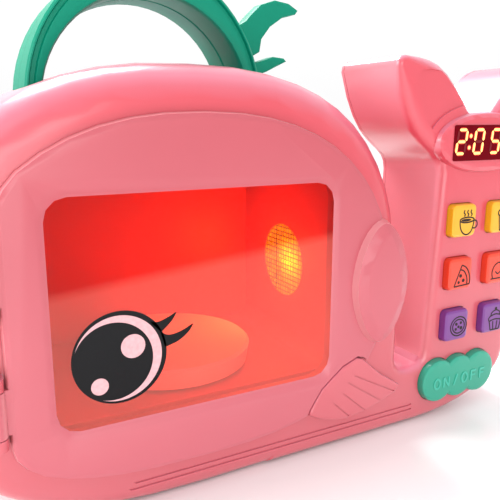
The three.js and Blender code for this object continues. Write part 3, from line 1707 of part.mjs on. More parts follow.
// One half of the handle: half the arch with a channel in its face, the flanges of its legs and half
// of each leaf. The way is -1 for the front half and 1 for the rear half.
function handleHalf(way) {
  const middle = seat / 2;
  const face = archHalfDepth;
  const far = channelMargin + channelWidth;
  const softShare = 0.3; // how far the round of a corner stands from the corner itself
  const corners = [
    ["outer", 0, middle],
    ["outer", 0, face - archOuterEdge],
    ["outer", archOuterEdge, face],
    ["outer", channelMargin, face],
    ["outer", channelMargin + channelSlope, face - channelDepth],
    ["outer", far - channelSlope, face - channelDepth],
    ["outer", far, face],
    ["inner", archEdge, face],
    ["inner", archEdge * softShare, face - archEdge * softShare],
    ["inner", 0, face - archEdge],
    ["inner", 0, middle + seamGroove],
    ["inner", seamGroove, middle],
  ];
  const turnedWay = corners.map(([edge, distance, depth]) => [edge, distance, way * depth]);
  const section = way < 0 ? turnedWay : turnedWay.toReversed();
  const foot = legFoot();
  const collar = foot + legFlangeLift;
  const flanges = handleRoom(foot, legFlange).intersect(level(collar, collar + legFlangeThickness));
  const half = way < 0 ? layer(-overrun, headSplit - middle) : layer(headSplit + middle, headDepth);
  const extras = join([flanges, ...leaves()]).intersect(half);
  return alongHandle(section, handleEdges(foot)).add(extras);
}

// A box over everything between two heights.
function level(z0, z1) {
  const reach = tailX + flukeReach * 2;
  return box(-reach, reach, -overrun, headDepth + overrun, z0, z1);
}

// The front half of the handle, with blind holes for its screws.
function handleFront() {
  const bore = screwRadius + seat;
  const holes = handleScrewPlaces().map(([x, z]) =>
    rod(x, z, headSplit - handleScrewGrip - bury, headSplit + bury, bore, bore, smallSteps),
  );
  return handleHalf(-1).subtract(join(holes));
}

// The rear half of the handle, with sunk holes for its screws.
function handleRear() {
  const bore = screwRadius + seat;
  const sink = screwHead + seat;
  const holes = handleScrewPlaces().flatMap(([x, z]) => [
    rod(x, z, headSplit - bury, headSplit + archHalfDepth, bore, bore, smallSteps),
    rod(x, z, headSplit + wellFloor, headSplit + archHalfDepth + bury, sink, sink, smallSteps + 4),
  ]);
  return handleHalf(1).subtract(join(holes));
}

const toy = new THREE.Group();
toy.add(piece("front_casing", frontCasing(), pink));
toy.add(piece("rear_casing", rearCasing(), pink));
toy.add(piece("tail_cover", tailCover(), pink));
toy.add(piece("side_fin", sideFin(), pink));
toy.add(piece("cavity_liner", cavityLiner(), blush));
toy.add(piece("catch_clip", catchClip(), white));
knuckleHeights.forEach((z, i) => {
  toy.add(piece(i ? "hinge_pin_upper" : "hinge_pin_lower", hingePin(z), steel));
});

toy.add(piece("door_frame", doorFrame(), doorPink));
toy.add(piece("door_window", doorWindow(), redGlass));
toy.add(piece("door_catch", doorCatch(), white));

toy.add(piece("turntable_plate", turntablePlate(), white));
toy.add(piece("drive_gear", driveGear(), white));
toy.add(piece("motor_pinion", motorPinion(), white));
toy.add(piece("gear_motor", gearMotor(), steel));
toy.add(piece("gearbox_tray", gearboxTray(), white));

toy.add(piece("lamp_lens", lampLens(), amber));
toy.add(piece("lamp_reflector", lampReflector(), white));
toy.add(piece("lamp_led", lampLed(), white));

toy.add(piece("display_window", displayWindow(), redGlass));
toy.add(piece("display_module", displayModule(), black));
const rowMaterials = [yellow, orange, purple];
buttonNumbers().forEach(([row, column]) => {
  const number = row * buttonColumns + column + 1;
  toy.add(piece("button_" + number, pushButton(row, column), rowMaterials[row]));
});
toy.add(piece("start_button", startButton(), buttonGreen));
toy.add(piece("keypad_mat", keypadMat(), rubber));
toy.add(piece("button_board", buttonBoard(), boardGreen));

toy.add(piece("speaker", speaker(), black));
for (let number = 0; number < cellCount; number++) {
  toy.add(piece("battery_" + (number + 1), cell(number), black));
}
toy.add(piece("contacts_front", contacts(-1), steel));
toy.add(piece("contacts_back", contacts(1), steel));
toy.add(piece("battery_door", batteryDoor(), pink));
toy.add(piece("battery_door_screw", batteryDoorScrew(), steel));

for (const [name, x, y] of footPlaces()) {
  toy.add(piece(name, foot(x, y), rubber));
}
casingScrewPlaces().forEach(([x, z], i) => {
  const seatY = headSplit + wellFloor + seat * 2;
  toy.add(piece("casing_screw_" + (i + 1), screw(x, z, seatY, wellFloor + screwGrip), steel));
});
coverScrewPlaces().forEach(([x, z], i) => {
  const seatY = tailDepth - screwHeadHeight / 2 + seat;
  const length = coverThickness + coverScrewGrip - screwHeadHeight / 2;
  const made = screw(x, z, seatY, length, screwHead, screwHeadHeight / 2);
  toy.add(piece("cover_screw_" + (i + 1), made, steel));
});

toy.add(piece("handle_front", handleFront(), green));
toy.add(piece("handle_rear", handleRear(), green));
handleScrewPlaces().forEach(([x, z], i) => {
  const seatY = headSplit + wellFloor + seat;
  toy.add(piece("handle_screw_" + (i + 1), screw(x, z, seatY, wellFloor + handleScrewGrip - bury), steel));
});

const bounds = new THREE.Box3().setFromObject(toy);
toy.position.set(-(bounds.min.x + bounds.max.x) / 2, -(bounds.min.y + bounds.max.y) / 2, -bounds.min.z);

export default toy;
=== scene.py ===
"""The looks of a toy microwave oven in the shape of a whale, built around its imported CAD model."""

import math

import bmesh
import bpy
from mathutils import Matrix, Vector
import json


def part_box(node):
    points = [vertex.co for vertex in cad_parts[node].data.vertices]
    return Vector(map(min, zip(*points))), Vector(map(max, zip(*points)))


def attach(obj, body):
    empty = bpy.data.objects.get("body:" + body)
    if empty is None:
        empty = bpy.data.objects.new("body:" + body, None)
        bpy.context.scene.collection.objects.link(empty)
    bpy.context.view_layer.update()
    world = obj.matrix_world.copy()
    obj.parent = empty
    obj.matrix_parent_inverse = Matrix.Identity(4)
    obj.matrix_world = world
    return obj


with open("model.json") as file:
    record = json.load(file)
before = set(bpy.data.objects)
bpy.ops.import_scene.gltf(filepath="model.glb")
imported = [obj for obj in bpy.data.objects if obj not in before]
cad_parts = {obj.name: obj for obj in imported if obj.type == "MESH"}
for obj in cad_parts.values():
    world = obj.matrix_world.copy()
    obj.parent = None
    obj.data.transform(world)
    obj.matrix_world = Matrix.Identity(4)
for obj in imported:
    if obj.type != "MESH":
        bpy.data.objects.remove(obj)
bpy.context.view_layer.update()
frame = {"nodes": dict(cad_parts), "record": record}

MM = 0.001

# The drawing's origin, found from the rear casing
HEAD_DEPTH = 126 * MM
rear_low, rear_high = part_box("rear_casing")
ORIGIN = Vector(((rear_low.x + rear_high.x) / 2, rear_high.y - HEAD_DEPTH, 0))


def place(x, y, z):
    """A point given in millimetres from the middle of the head's front, at table height."""
    return ORIGIN + Vector((x, y, z)) * MM


# Steps that the materials share


def new_material(name):
    """An empty node material with its shader."""
    made = bpy.data.materials.new(name)
    made.use_nodes = True
    shader = made.node_tree.nodes["Principled BSDF"]
    return made, made.node_tree, shader


def noise(tree, scale, detail=3.0, roughness=0.5):
    """Noise in the piece's own space, with scale in features per metre."""
    coordinates = tree.nodes.new("ShaderNodeTexCoord")
    made = tree.nodes.new("ShaderNodeTexNoise")
    made.inputs["Scale"].default_value = scale
    made.inputs["Detail"].default_value = detail
    made.inputs["Roughness"].default_value = roughness
    tree.links.new(coordinates.outputs["Object"], made.inputs["Vector"])
    return made.outputs["Fac"]


def spread(tree, value, low, high, start=0.3, end=0.7):
    """A value between start and end, which suit noise, as one between low and high."""
    made = tree.nodes.new("ShaderNodeMapRange")
    made.inputs["From Min"].default_value = start
    made.inputs["From Max"].default_value = end
    made.inputs["To Min"].default_value = low
    made.inputs["To Max"].default_value = high
    tree.links.new(value, made.inputs["Value"])
    return made.outputs["Result"]


def arithmetic(tree, operation, first, second):
    """The sum or the product of two values."""
    made = tree.nodes.new("ShaderNodeMath")
    made.operation = operation
    tree.links.new(first, made.inputs[0])
    tree.links.new(second, made.inputs[1])
    return made.outputs["Value"]


def split_coordinates(tree, kind):
    """The X, Y and Z of a texture coordinate: of a place, of a normal or of the sky."""
    coordinates = tree.nodes.new("ShaderNodeTexCoord")
    made = tree.nodes.new("ShaderNodeSeparateXYZ")
    tree.links.new(coordinates.outputs[kind], made.inputs["Vector"])
    return made.outputs


def compare_place(tree, operation, other):
    """A vector operation between a place on the piece and a fixed vector."""
    coordinates = tree.nodes.new("ShaderNodeTexCoord")
    made = tree.nodes.new("ShaderNodeVectorMath")
    made.operation = operation
    made.inputs[1].default_value = other
    tree.links.new(coordinates.outputs["Object"], made.inputs[0])
    return made.outputs["Value"]


def blend_colours(tree, share, first, second):
    """The colour between two, by a share."""
    made = tree.nodes.new("ShaderNodeMix")
    made.data_type = "RGBA"
    made.inputs[6].default_value = (*first, 1)
    made.inputs[7].default_value = (*second, 1)
    tree.links.new(share, made.inputs["Factor"])
    return made.outputs[2]


def bump(tree, shader, height, strength, distance):
    """Relief from a height value."""
    made = tree.nodes.new("ShaderNodeBump")
    made.inputs["Strength"].default_value = strength
    made.inputs["Distance"].default_value = distance
    tree.links.new(height, made.inputs["Height"])
    tree.links.new(made.outputs["Normal"], shader.inputs["Normal"])


def linear(red, green, blue):
    """Display values from 0 to 255 as linear light, by the sRGB curve."""
    shares = [value / 255 for value in (red, green, blue)]
    return tuple(s / 12.92 if s <= 0.04045 else ((s + 0.055) / 1.055) ** 2.4 for s in shares)


def shade(colour, factor):
    """A colour made lighter or darker."""
    return tuple(min(value * factor, 1) for value in colour)


def mottled(tree, value, colour, dark, light=1.0):
    """A colour that a noise value moves between a darker and a lighter factor."""
    return blend_colours(tree, spread(tree, value, 0, 1), shade(colour, dark), shade(colour, light))


# Plain materials, each with its own fine unevenness

PLASTIC_DRIFT = 14
PLASTIC_SHEEN = 40
PLASTIC_SKIN = 1400
PLASTIC_SKIN_DEPTH = 0.1 * MM
PLASTIC_COAT_ROUGHNESS = 0.2
PLASTIC_GLOW_REACH = (5 * MM, 2.5 * MM, 2.5 * MM)


def plastic(name, colour, roughness=0.3, coat=0.25, tone=0.025, relief=0.02, glow=0.04, gloss=0.5):
    """Moulded plastic: a slow drift of tone, uneven gloss and fine skin texture."""
    made, tree, shader = new_material(name)
    mixed = mottled(tree, noise(tree, PLASTIC_DRIFT, detail=2), colour, dark=1 - tone, light=1 + tone)
    tree.links.new(mixed, shader.inputs["Base Color"])
    uneven = noise(tree, PLASTIC_SHEEN, detail=2)
    sheen = spread(tree, uneven, low=roughness * 0.95, high=roughness * 1.06)
    tree.links.new(sheen, shader.inputs["Roughness"])
    shader.inputs["Coat Weight"].default_value = coat
    shader.inputs["Coat Roughness"].default_value = PLASTIC_COAT_ROUGHNESS
    shader.inputs["Subsurface Weight"].default_value = glow
    shader.inputs["Subsurface Radius"].default_value = PLASTIC_GLOW_REACH
    shader.inputs["Subsurface Scale"].default_value = 1
    shader.inputs["Specular IOR Level"].default_value = gloss
    bump(tree, shader, noise(tree, PLASTIC_SKIN, detail=2), relief, PLASTIC_SKIN_DEPTH)
    return made


CLEAR_DRIFT = 25
CLEAR_GLOSS = 0.25


def clear(name, colour, roughness=0.04, depth=1, index=1.2):
    """Clear tinted plastic that lets lamps through."""
    made, tree, shader = new_material(name)
    mixed = mottled(tree, noise(tree, CLEAR_DRIFT, detail=2), colour, dark=0.96)
    tree.links.new(mixed, shader.inputs["Base Color"])
    shader.inputs["Roughness"].default_value = roughness
    shader.inputs["IOR"].default_value = index
    shader.inputs["Transmission Weight"].default_value = depth
    shader.inputs["Specular IOR Level"].default_value = CLEAR_GLOSS
    path = tree.nodes.new("ShaderNodeLightPath")
    open_way = tree.nodes.new("ShaderNodeBsdfTransparent")
    tree.links.new(mixed, open_way.inputs["Color"])
    both = tree.nodes.new("ShaderNodeMixShader")
    tree.links.new(path.outputs["Is Shadow Ray"], both.inputs["Fac"])
    tree.links.new(shader.outputs["BSDF"], both.inputs[1])
    tree.links.new(open_way.outputs["BSDF"], both.inputs[2])
    tree.links.new(both.outputs["Shader"], tree.nodes["Material Output"].inputs["Surface"])
    return made


METAL_RELIEF = 0.08
METAL_SCRATCH_DEPTH = 0.1 * MM


def metal(name, colour, roughness, scratch):
    """Metal with fine scratches."""
    made, tree, shader = new_material(name)
    fine = noise(tree, scratch, detail=6, roughness=0.7)
    tree.links.new(mottled(tree, fine, colour, dark=0.85), shader.inputs["Base Color"])
    sheen = spread(tree, fine, low=roughness * 0.7, high=roughness * 1.4)
    tree.links.new(sheen, shader.inputs["Roughness"])
    shader.inputs["Metallic"].default_value = 1
    bump(tree, shader, fine, METAL_RELIEF, METAL_SCRATCH_DEPTH)
    return made


RUBBER_GRAIN = 900
RUBBER_RELIEF = 0.25
RUBBER_GRAIN_DEPTH = 0.2 * MM


def rubber(name, colour):
    """Dull rubber with a fine grain."""
    made, tree, shader = new_material(name)
    grain = noise(tree, RUBBER_GRAIN, detail=4, roughness=0.6)
    tree.links.new(mottled(tree, grain, colour, dark=0.8, light=1.2), shader.inputs["Base Color"])
    tree.links.new(spread(tree, grain, low=0.7, high=0.95), shader.inputs["Roughness"])
    bump(tree, shader, grain, RUBBER_RELIEF, RUBBER_GRAIN_DEPTH)
    return made


GLOWING_DRIFT = 90
GLOWING_ROUGHNESS = 0.4


def glowing(name, colour, strength):
    """A lit surface with a slightly uneven brightness."""
    made, tree, shader = new_material(name)
    mixed = mottled(tree, noise(tree, GLOWING_DRIFT, detail=2), colour, dark=0.92)
    tree.links.new(mixed, shader.inputs["Emission Color"])
    tree.links.new(mixed, shader.inputs["Base Color"])
    shader.inputs["Emission Strength"].default_value = strength
    shader.inputs["Roughness"].default_value = GLOWING_ROUGHNESS
    return made


INK_MOTTLE = 500
INK_GLOSS = 0.15


def ink(name, colour, roughness=0.35):
    """Printed ink with a faint mottle."""
    made, tree, shader = new_material(name)
    mottle = noise(tree, INK_MOTTLE, detail=3)
    tree.links.new(mottled(tree, mottle, colour, dark=0.9, light=1.08), shader.inputs["Base Color"])
    sheen = spread(tree, mottle, low=roughness * 0.8, high=roughness * 1.2)
    tree.links.new(sheen, shader.inputs["Roughness"])
    shader.inputs["Specular IOR Level"].default_value = INK_GLOSS
    return made


BOARD_BRICKS = 160
BOARD_TRACK = 0.04
BOARD_GREEN = linear(36, 104, 58)
BOARD_DARK_GREEN = linear(30, 92, 50)
BOARD_TRACK_GREEN = linear(92, 142, 78)
BOARD_ROUGHNESS = 0.35


def circuit_board(name):
    """Green lacquer over copper tracks."""
    made, tree, shader = new_material(name)
    coordinates = tree.nodes.new("ShaderNodeTexCoord")
    tracks = tree.nodes.new("ShaderNodeTexBrick")
    tracks.inputs["Scale"].default_value = BOARD_BRICKS
    tracks.inputs["Mortar Size"].default_value = BOARD_TRACK
    tracks.inputs["Color1"].default_value = (*BOARD_GREEN, 1)
    tracks.inputs["Color2"].default_value = (*BOARD_DARK_GREEN, 1)
    tracks.inputs["Mortar"].default_value = (*BOARD_TRACK_GREEN, 1)
    tree.links.new(coordinates.outputs["Object"], tracks.inputs["Vector"])
    tree.links.new(tracks.outputs["Color"], shader.inputs["Base Color"])
    shader.inputs["Roughness"].default_value = BOARD_ROUGHNESS
    return made


# Paler tones laid over the pink, which stand in for the light of the photograph's room

PALE_FOOT = 20 * MM
PALE_FOOT_END = 150 * MM

# Ranges of a normal's part over which a painted light tone comes in or goes out
EDGE_LEAVES_FRONT = (-0.9, -0.65)
EDGE_NEARS_SIDE = (-0.35, 0)
EDGE_HIGHLIGHT_SHARE = 0.85
TOP_FACING = (0.2, 0.65)
TAIL_FACING = (-0.97, -0.75)

# The tail begins at a line that leans towards the head
TAIL_START = (142, 0, 0)
TAIL_LEAN = 0.2
TAIL_FADE = 4 * MM


def layer_colour(made, share, colour):
    """Mixes one more colour over a plastic's own, by a share."""
    tree = made.node_tree
    shader = tree.nodes["Principled BSDF"]
    link = shader.inputs["Base Color"].links[0]
    mixed = tree.nodes.new("ShaderNodeMix")
    mixed.data_type = "RGBA"
    mixed.inputs[7].default_value = (*colour, 1)
    tree.links.new(link.from_socket, mixed.inputs[6])
    tree.links.new(share, mixed.inputs["Factor"])
    tree.links.new(mixed.outputs[2], shader.inputs["Base Color"])


def painted_bounce_light_below(made, colour):
    """Painted bounce light from the table: the plastic grows paler towards the table."""
    tree = made.node_tree
    height = split_coordinates(tree, "Object")["Z"]
    layer_colour(made, spread(tree, height, 1, 0, PALE_FOOT, PALE_FOOT_END), colour)


def painted_edge_highlight(made, colour):
    """Painted highlight: rounded edges, between the front and the sides, are paler."""
    tree = made.node_tree
    facing = split_coordinates(tree, "Normal")["Y"]
    off_front = spread(tree, facing, 0, EDGE_HIGHLIGHT_SHARE, *EDGE_LEAVES_FRONT)
    off_side = spread(tree, facing, 1, 0, *EDGE_NEARS_SIDE)
    layer_colour(made, arithmetic(tree, "MULTIPLY", off_front, off_side), colour)


def painted_top_light(made, colour):
    """Painted top light: surfaces that face up are paler."""
    tree = made.node_tree
    facing = split_coordinates(tree, "Normal")["Z"]
    layer_colour(made, spread(tree, facing, 0, 1, *TOP_FACING), colour)


def painted_tail_side_light(made, colour):
    """Painted light: the tail's side towards the head is paler."""
    tree = made.node_tree
    facing = split_coordinates(tree, "Normal")["X"]
    across = compare_place(tree, "DOT_PRODUCT", (1, 0, TAIL_LEAN))
    towards_head = spread(tree, facing, 1, 0, *TAIL_FACING)
    start = place(*TAIL_START).x
    on_tail = spread(tree, across, 0, 1, start, start + TAIL_FADE)
    layer_colour(made, arithmetic(tree, "MULTIPLY", towards_head, on_tail), colour)


# Painted reflection on the door's pane, below a line that climbs to the right

REFLECTION_EDGE = (-68.8, -2.4, 108)
REFLECTION_SLOPE = 0.1
REFLECTION_FADE = 5 * MM
REFLECTION_DEEP = 60 * MM
REFLECTION_AT_EDGE = 0.75


def pane_with_painted_reflection(name, colour, reflection):
    """The door's red pane, whose lower part glows with a painted reflection of the lit room."""
    made = clear(name, colour)
    tree = made.node_tree
    shader = tree.nodes["Principled BSDF"]
    down = compare_place(tree, "DOT_PRODUCT", (REFLECTION_SLOPE, 0, -1))
    edge = place(*REFLECTION_EDGE)
    start = edge.x * REFLECTION_SLOPE - edge.z
    near = spread(tree, down, 0, REFLECTION_AT_EDGE, start, start + REFLECTION_FADE)
    deep = spread(tree, down, 0, 1 - REFLECTION_AT_EDGE, start + REFLECTION_FADE, start + REFLECTION_DEEP)
    painted_reflection = blend_colours(tree, arithmetic(tree, "ADD", near, deep), (0, 0, 0), reflection)
    tree.links.new(painted_reflection, shader.inputs["Emission Color"])
    shader.inputs["Emission Strength"].default_value = 1
    return made


# The oven lamp's lens, with a hot spot in front of its middle

LENS_SQUARE = 2.8 * MM
LENS_GROOVE = 0.13
LENS_GROOVE_BLUR = 0.5
LENS_BRIGHT_SQUARE = (1, 1, 1, 1)
LENS_DIM_SQUARE = (0.55, 0.55, 0.55, 1)
LENS_GROOVE_TONE = (0.04, 0.04, 0.04, 1)
LENS_BASE = (0.03, 0.01, 0, 1)
LENS_AMBER = (1.0, 0.5, 0.0)
LENS_YELLOW = (1.0, 0.9, 0.0)
LENS_ROUGHNESS = 0.2
LENS_EDGE_STRENGTH = 2.24
LENS_SPOT_STRENGTH = 5.6
SPOT_FORWARD = 7 * MM
SPOT_UP = 1 * MM
SPOT_RADIUS = 2 * MM
SPOT_END = 15 * MM


def lens_glow(name):
    """A lit amber lens cut into small squares, brightest round a hot spot."""
    made, tree, shader = new_material(name)
    across = split_coordinates(tree, "Object")
    flat = tree.nodes.new("ShaderNodeCombineXYZ")
    tree.links.new(across["Y"], flat.inputs["X"])
    tree.links.new(across["Z"], flat.inputs["Y"])
    squares = tree.nodes.new("ShaderNodeTexBrick")
    squares.offset = 0
    squares.inputs["Scale"].default_value = 1 / LENS_SQUARE
    squares.inputs["Brick Width"].default_value = 1
    squares.inputs["Row Height"].default_value = 1
    squares.inputs["Mortar Size"].default_value = LENS_GROOVE
    squares.inputs["Mortar Smooth"].default_value = LENS_GROOVE_BLUR
    squares.inputs["Color1"].default_value = LENS_BRIGHT_SQUARE
    squares.inputs["Color2"].default_value = LENS_DIM_SQUARE
    squares.inputs["Mortar"].default_value = LENS_GROOVE_TONE
    tree.links.new(flat.outputs["Vector"], squares.inputs["Vector"])
    low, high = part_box("lamp_lens")
    middle = (low + high) / 2
    spot = (low.x, middle.y - SPOT_FORWARD, middle.z + SPOT_UP)
    fall = spread(tree, compare_place(tree, "DISTANCE", spot), 1, 0, SPOT_RADIUS, SPOT_END)
    glare = spread(tree, fall, LENS_EDGE_STRENGTH, LENS_SPOT_STRENGTH, start=0, end=1)
    strength = arithmetic(tree, "MULTIPLY", squares.outputs["Color"], glare)
    tree.links.new(strength, shader.inputs["Emission Strength"])
    tree.links.new(blend_colours(tree, fall, LENS_AMBER, LENS_YELLOW), shader.inputs["Emission Color"])
    shader.inputs["Base Color"].default_value = LENS_BASE
    shader.inputs["Roughness"].default_value = LENS_ROUGHNESS
    return made


# Colours as linear light, and the materials made of them

CORAL = (0.56, 0.053, 0.078)
# Painted bounce light from the table, on the body
CORAL_BOUNCE_LIGHT = (0.56, 0.105, 0.13)
DOOR_PINK = (0.44, 0.07, 0.092)
# Painted bounce light from the table, on the door
DOOR_BOUNCE_LIGHT = (0.54, 0.115, 0.145)
# Painted highlight on the door's rounded edges
DOOR_EDGE_HIGHLIGHT = (0.66, 0.23, 0.25)
# Painted light on the tail's side towards the head
TAIL_SIDE_LIGHT = (0.8, 0.26, 0.305)
# Painted light on surfaces that face up
TOP_LIGHT_PINK = (0.58, 0.14, 0.2)
BLUSH = (0.7, 0.27, 0.25)
PANE_RED = (0.95, 0.26, 0.21)
# Painted reflection on the pane's lower part
PANE_REFLECTION = (0.14, 0.07, 0.058)
LINER_RED = (0.62, 0.055, 0.05)
GREEN = (0.0, 0.215, 0.13)
GREEN_KEY = (0.02, 0.31, 0.205)
# A lighter copy of the key's green: painted highlight on the raised letters
LETTER_GREEN_LIT = (0.04, 0.42, 0.3)
BUTTON_YELLOW = (0.72, 0.35, 0.005)
BUTTON_ORANGE = (0.7, 0.042, 0.012)
BUTTON_PURPLE = (0.16, 0.03, 0.22)
COVER_RED = (0.12, 0.0, 0.004)
LIT_ORANGE = (1.0, 0.53, 0.16)
UNLIT_RED = (0.16, 0.008, 0.012)
HALO_RED = (0.5, 0.02, 0.008)
LAMP_ORANGE = (1.0, 0.62, 0.12)

pink_plastic = plastic("pink_plastic", CORAL, roughness=0.34, coat=0.6, glow=0.12)
# Painted bounce light from the table
painted_bounce_light_below(pink_plastic, CORAL_BOUNCE_LIGHT)
# Painted light on surfaces that face up
painted_top_light(pink_plastic, TOP_LIGHT_PINK)
# Painted light on the tail's side towards the head
painted_tail_side_light(pink_plastic, TAIL_SIDE_LIGHT)
door_plastic = plastic("door_plastic", DOOR_PINK, roughness=0.38, coat=0.25)
# Painted bounce light from the table
painted_bounce_light_below(door_plastic, DOOR_BOUNCE_LIGHT)
# Painted highlight on the door's rounded edges
painted_edge_highlight(door_plastic, DOOR_EDGE_HIGHLIGHT)
# The pane carries a painted reflection on its lower part
red_clear = pane_with_painted_reflection("red_clear", PANE_RED, PANE_REFLECTION)
blush_plastic = plastic("blush_plastic", BLUSH, roughness=0.5, coat=0.0)
white_plastic = plastic("white_plastic", linear(240, 232, 226), roughness=0.42, coat=0.05, tone=0.03)
silver_plastic = metal("silver_plastic", linear(225, 225, 226), roughness=0.25, scratch=300)
amber_clear = clear("amber_clear", linear(255, 196, 20), roughness=0.12, depth=0.6)
steel = metal("steel", linear(192, 194, 198), roughness=0.3, scratch=1600)
black_plastic = plastic("black_plastic", linear(24, 24, 27), roughness=0.5, coat=0.0)
sleeve = plastic("battery_sleeve", linear(44, 92, 84), roughness=0.3, coat=0.3)
yellow_plastic = plastic("yellow_plastic", BUTTON_YELLOW, roughness=0.3, coat=0.2)
orange_plastic = plastic("orange_plastic", BUTTON_ORANGE, roughness=0.3, coat=0.2)
purple_plastic = plastic("purple_plastic", BUTTON_PURPLE, roughness=0.3, coat=0.2)
green_button = plastic("green_button", GREEN_KEY, roughness=0.34, coat=0.15)
lit_letter_green = plastic("lit_letter_green", LETTER_GREEN_LIT, roughness=0.34, coat=0.15)
dark_rubber = rubber("rubber", linear(58, 58, 60))
board = circuit_board("board")
green_plastic = plastic("green_plastic", GREEN, roughness=0.5, coat=0.04, gloss=0.16)
black_ink = ink("black_ink", linear(16, 16, 18))
icon_ink = ink("icon_ink", linear(44, 32, 30))
blush_ink = ink("blush_ink", linear(216, 166, 170))
liner_plastic = plastic("liner_plastic", LINER_RED, roughness=0.4, coat=0.1)
display_red = plastic("display_red", COVER_RED, roughness=0.15, coat=0, gloss=0.04)
lit_digits = glowing("lit_digits", LIT_ORANGE, strength=1.15)
unlit_digits = ink("unlit_digits", UNLIT_RED)
digit_halo = glowing("digit_halo", HALO_RED, strength=1)
lit_lamp = glowing("lit_lamp", LAMP_ORANGE, strength=1.5)
lit_lens = lens_glow("lit_lens")

SLOT_MATERIALS = {
    "pink_plastic": pink_plastic,
    "door_plastic": door_plastic,
    "red_clear": red_clear,
    "blush_plastic": blush_plastic,
    "white_plastic": white_plastic,
    "silver_plastic": silver_plastic,
    "amber_clear": amber_clear,
    "steel": steel,
    "black_plastic": black_plastic,
    "battery_sleeve": sleeve,
    "yellow_plastic": yellow_plastic,
    "orange_plastic": orange_plastic,
    "purple_plastic": purple_plastic,
    "green_button": green_button,
    "rubber": dark_rubber,
    "board": board,
    "green_plastic": green_plastic,
}

OWN_MATERIALS = {
    "lamp_led": lit_lamp,
    "lamp_lens": lit_lens,
    "display_window": display_red,
    "cavity_liner": liner_plastic,
}

# Vertices closer than the first are joined, and edges sharper than the second stay sharp
WELD_DISTANCE = 0.002 * MM
SMOOTH_ANGLE = math.radians(32)


def dress_nodes():
    """Every CAD node gets its slot's or its own material, and soft shading between true edges."""
    for row in frame["record"]["subparts"]:
        node = frame["nodes"][row["node"]]
        node.data.materials.clear()
        node.data.materials.append(SLOT_MATERIALS[row["material_slot"]])
        joined = node.modifiers.new("joined", "WELD")
        joined.merge_threshold = WELD_DISTANCE
        creases = node.modifiers.new("creases", "EDGE_SPLIT")
        creases.split_angle = SMOOTH_ANGLE
        even = node.modifiers.new("even", "WEIGHTED_NORMAL")
        even.keep_sharp = True
        node.data.shade_smooth()
    for name, material in OWN_MATERIALS.items():
        frame["nodes"][name].data.materials.clear()
        frame["nodes"][name].data.materials.append(material)


# Meshes drawn in front view

# Thickness of a printed layer, and how much further out each stroke of a picture lies
LAYER = 0.06
STROKE_STEP = LAYER / 20
DOT_STEPS = 20


def finish_mesh(name, made, material, body):
    """A bmesh as a piece that rides on a body."""
    bmesh.ops.recalc_face_normals(made, faces=made.faces)
    data = bpy.data.meshes.new(name)
    made.to_mesh(data)
    made.free()
    data.materials.append(material)
    piece = bpy.data.objects.new(name, data)
    bpy.context.scene.collection.objects.link(piece)
    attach(piece, body)
    return piece


def prism(made, outline, front, back):
    """Adds a flat plate over an outline of (x, z) in millimetres, between two depths."""
    near = [made.verts.new(place(x, front, z)) for x, z in outline]
    far = [made.verts.new(place(x, back, z)) for x, z in outline]
    made.faces.new(near)
    made.faces.new(far[::-1])
    count = len(outline)
    for i in range(count):
        j = (i + 1) % count
        made.faces.new((near[i], far[i], far[j], near[j]))


def oval(x, z, half_width, half_height=None, steps=48):
    """An ellipse's points."""
    half_height = half_height or half_width
    angles = [2 * math.pi * i / steps for i in range(steps)]
    return [(x + half_width * math.cos(a), z + half_height * math.sin(a)) for a in angles]


def arc(x, z, radius, start, end, steps=14):
    """Points on a circle between two angles in degrees."""
    angles = [math.radians(start + (end - start) * i / steps) for i in range(steps + 1)]
    return [(x + radius * math.cos(a), z + radius * math.sin(a)) for a in angles]


def curve(points, steps=5):
    """A smooth curve through points."""
    made = []
    last = len(points) - 1
    for i in range(last):
        corners = [Vector(points[min(max(k, 0), last)]) for k in (i - 1, i, i + 1, i + 2)]
        for step in range(steps):
            t = step / steps
            first = corners[1] * 2 + (corners[2] - corners[0]) * t
            second = (corners[0] * 2 - corners[1] * 5 + corners[2] * 4 - corners[3]) * t * t
            third = (corners[1] * 3 - corners[0] - corners[2] * 3 + corners[3]) * t**3
            made.append(tuple((first + second + third) / 2))
    return made + [points[last]]


def shifted(points, x, z):
    """Points moved sideways and up."""
    return [(point[0] + x, point[1] + z) for point in points]


def line(made, points, width, front, back, closed=False):
    """Adds a flat line of even width through points, between two depths."""
    count = len(points)
    sections = []
    for i, point in enumerate(points):
        before = points[i - 1] if i or closed else point
        after = points[(i + 1) % count] if i + 1 < count or closed else point
        along = (Vector(after) - Vector(before)).normalized()
        side = Vector((-along.y, along.x)) * width / 2
        ends = [(point[0] + side.x * way, point[1] + side.y * way) for way in (1, -1)]
        corners = [(*ends[0], front), (*ends[1], front), (*ends[1], back), (*ends[0], back)]
        sections.append([made.verts.new(place(x, y, z)) for x, z, y in corners])
    for i in range(count if closed else count - 1):
        first, second = sections[i], sections[(i + 1) % count]
        for k in range(4):
            made.faces.new((first[k], first[(k + 1) % 4], second[(k + 1) % 4], second[k]))
    if not closed:
        made.faces.new(sections[0])
        made.faces.new(sections[-1][::-1])


# The eye, printed on the door's pane

PANE_FRONT = -2.4
EYE = (-40.8, 75.7)
EYE_RADIUS = 20.9
EYE_WHITE = (-41.5, 75.3)
EYE_WHITE_RADIUS = 19.3
EYE_STEPS = 96
PUPIL = (-43.8, 74.3)
PUPIL_RADIUS = 17.5
HIGHLIGHTS = [(-35.1, 79.9, 5.4), (-50.3, 64.2, 3.8)]
UPPER_LASH = [
    (-27.5, 89.9),
    (-24.2, 89.0),
    (-21.1, 89.6),
    (-17.8, 90.9),
    (-14.9, 92.2),
    (-16.6, 89.2),
    (-18.6, 87.1),
    (-22.2, 84.0),
]
LOWER_LASH = [
    (-22.6, 84.4),
    (-19.6, 82.4),
    (-15.9, 82.3),
    (-11.4, 83.6),
    (-7.0, 85.6),
    (-9.0, 82.4),
    (-11.9, 80.0),
    (-15.6, 78.1),
    (-20.6, 76.8),
]


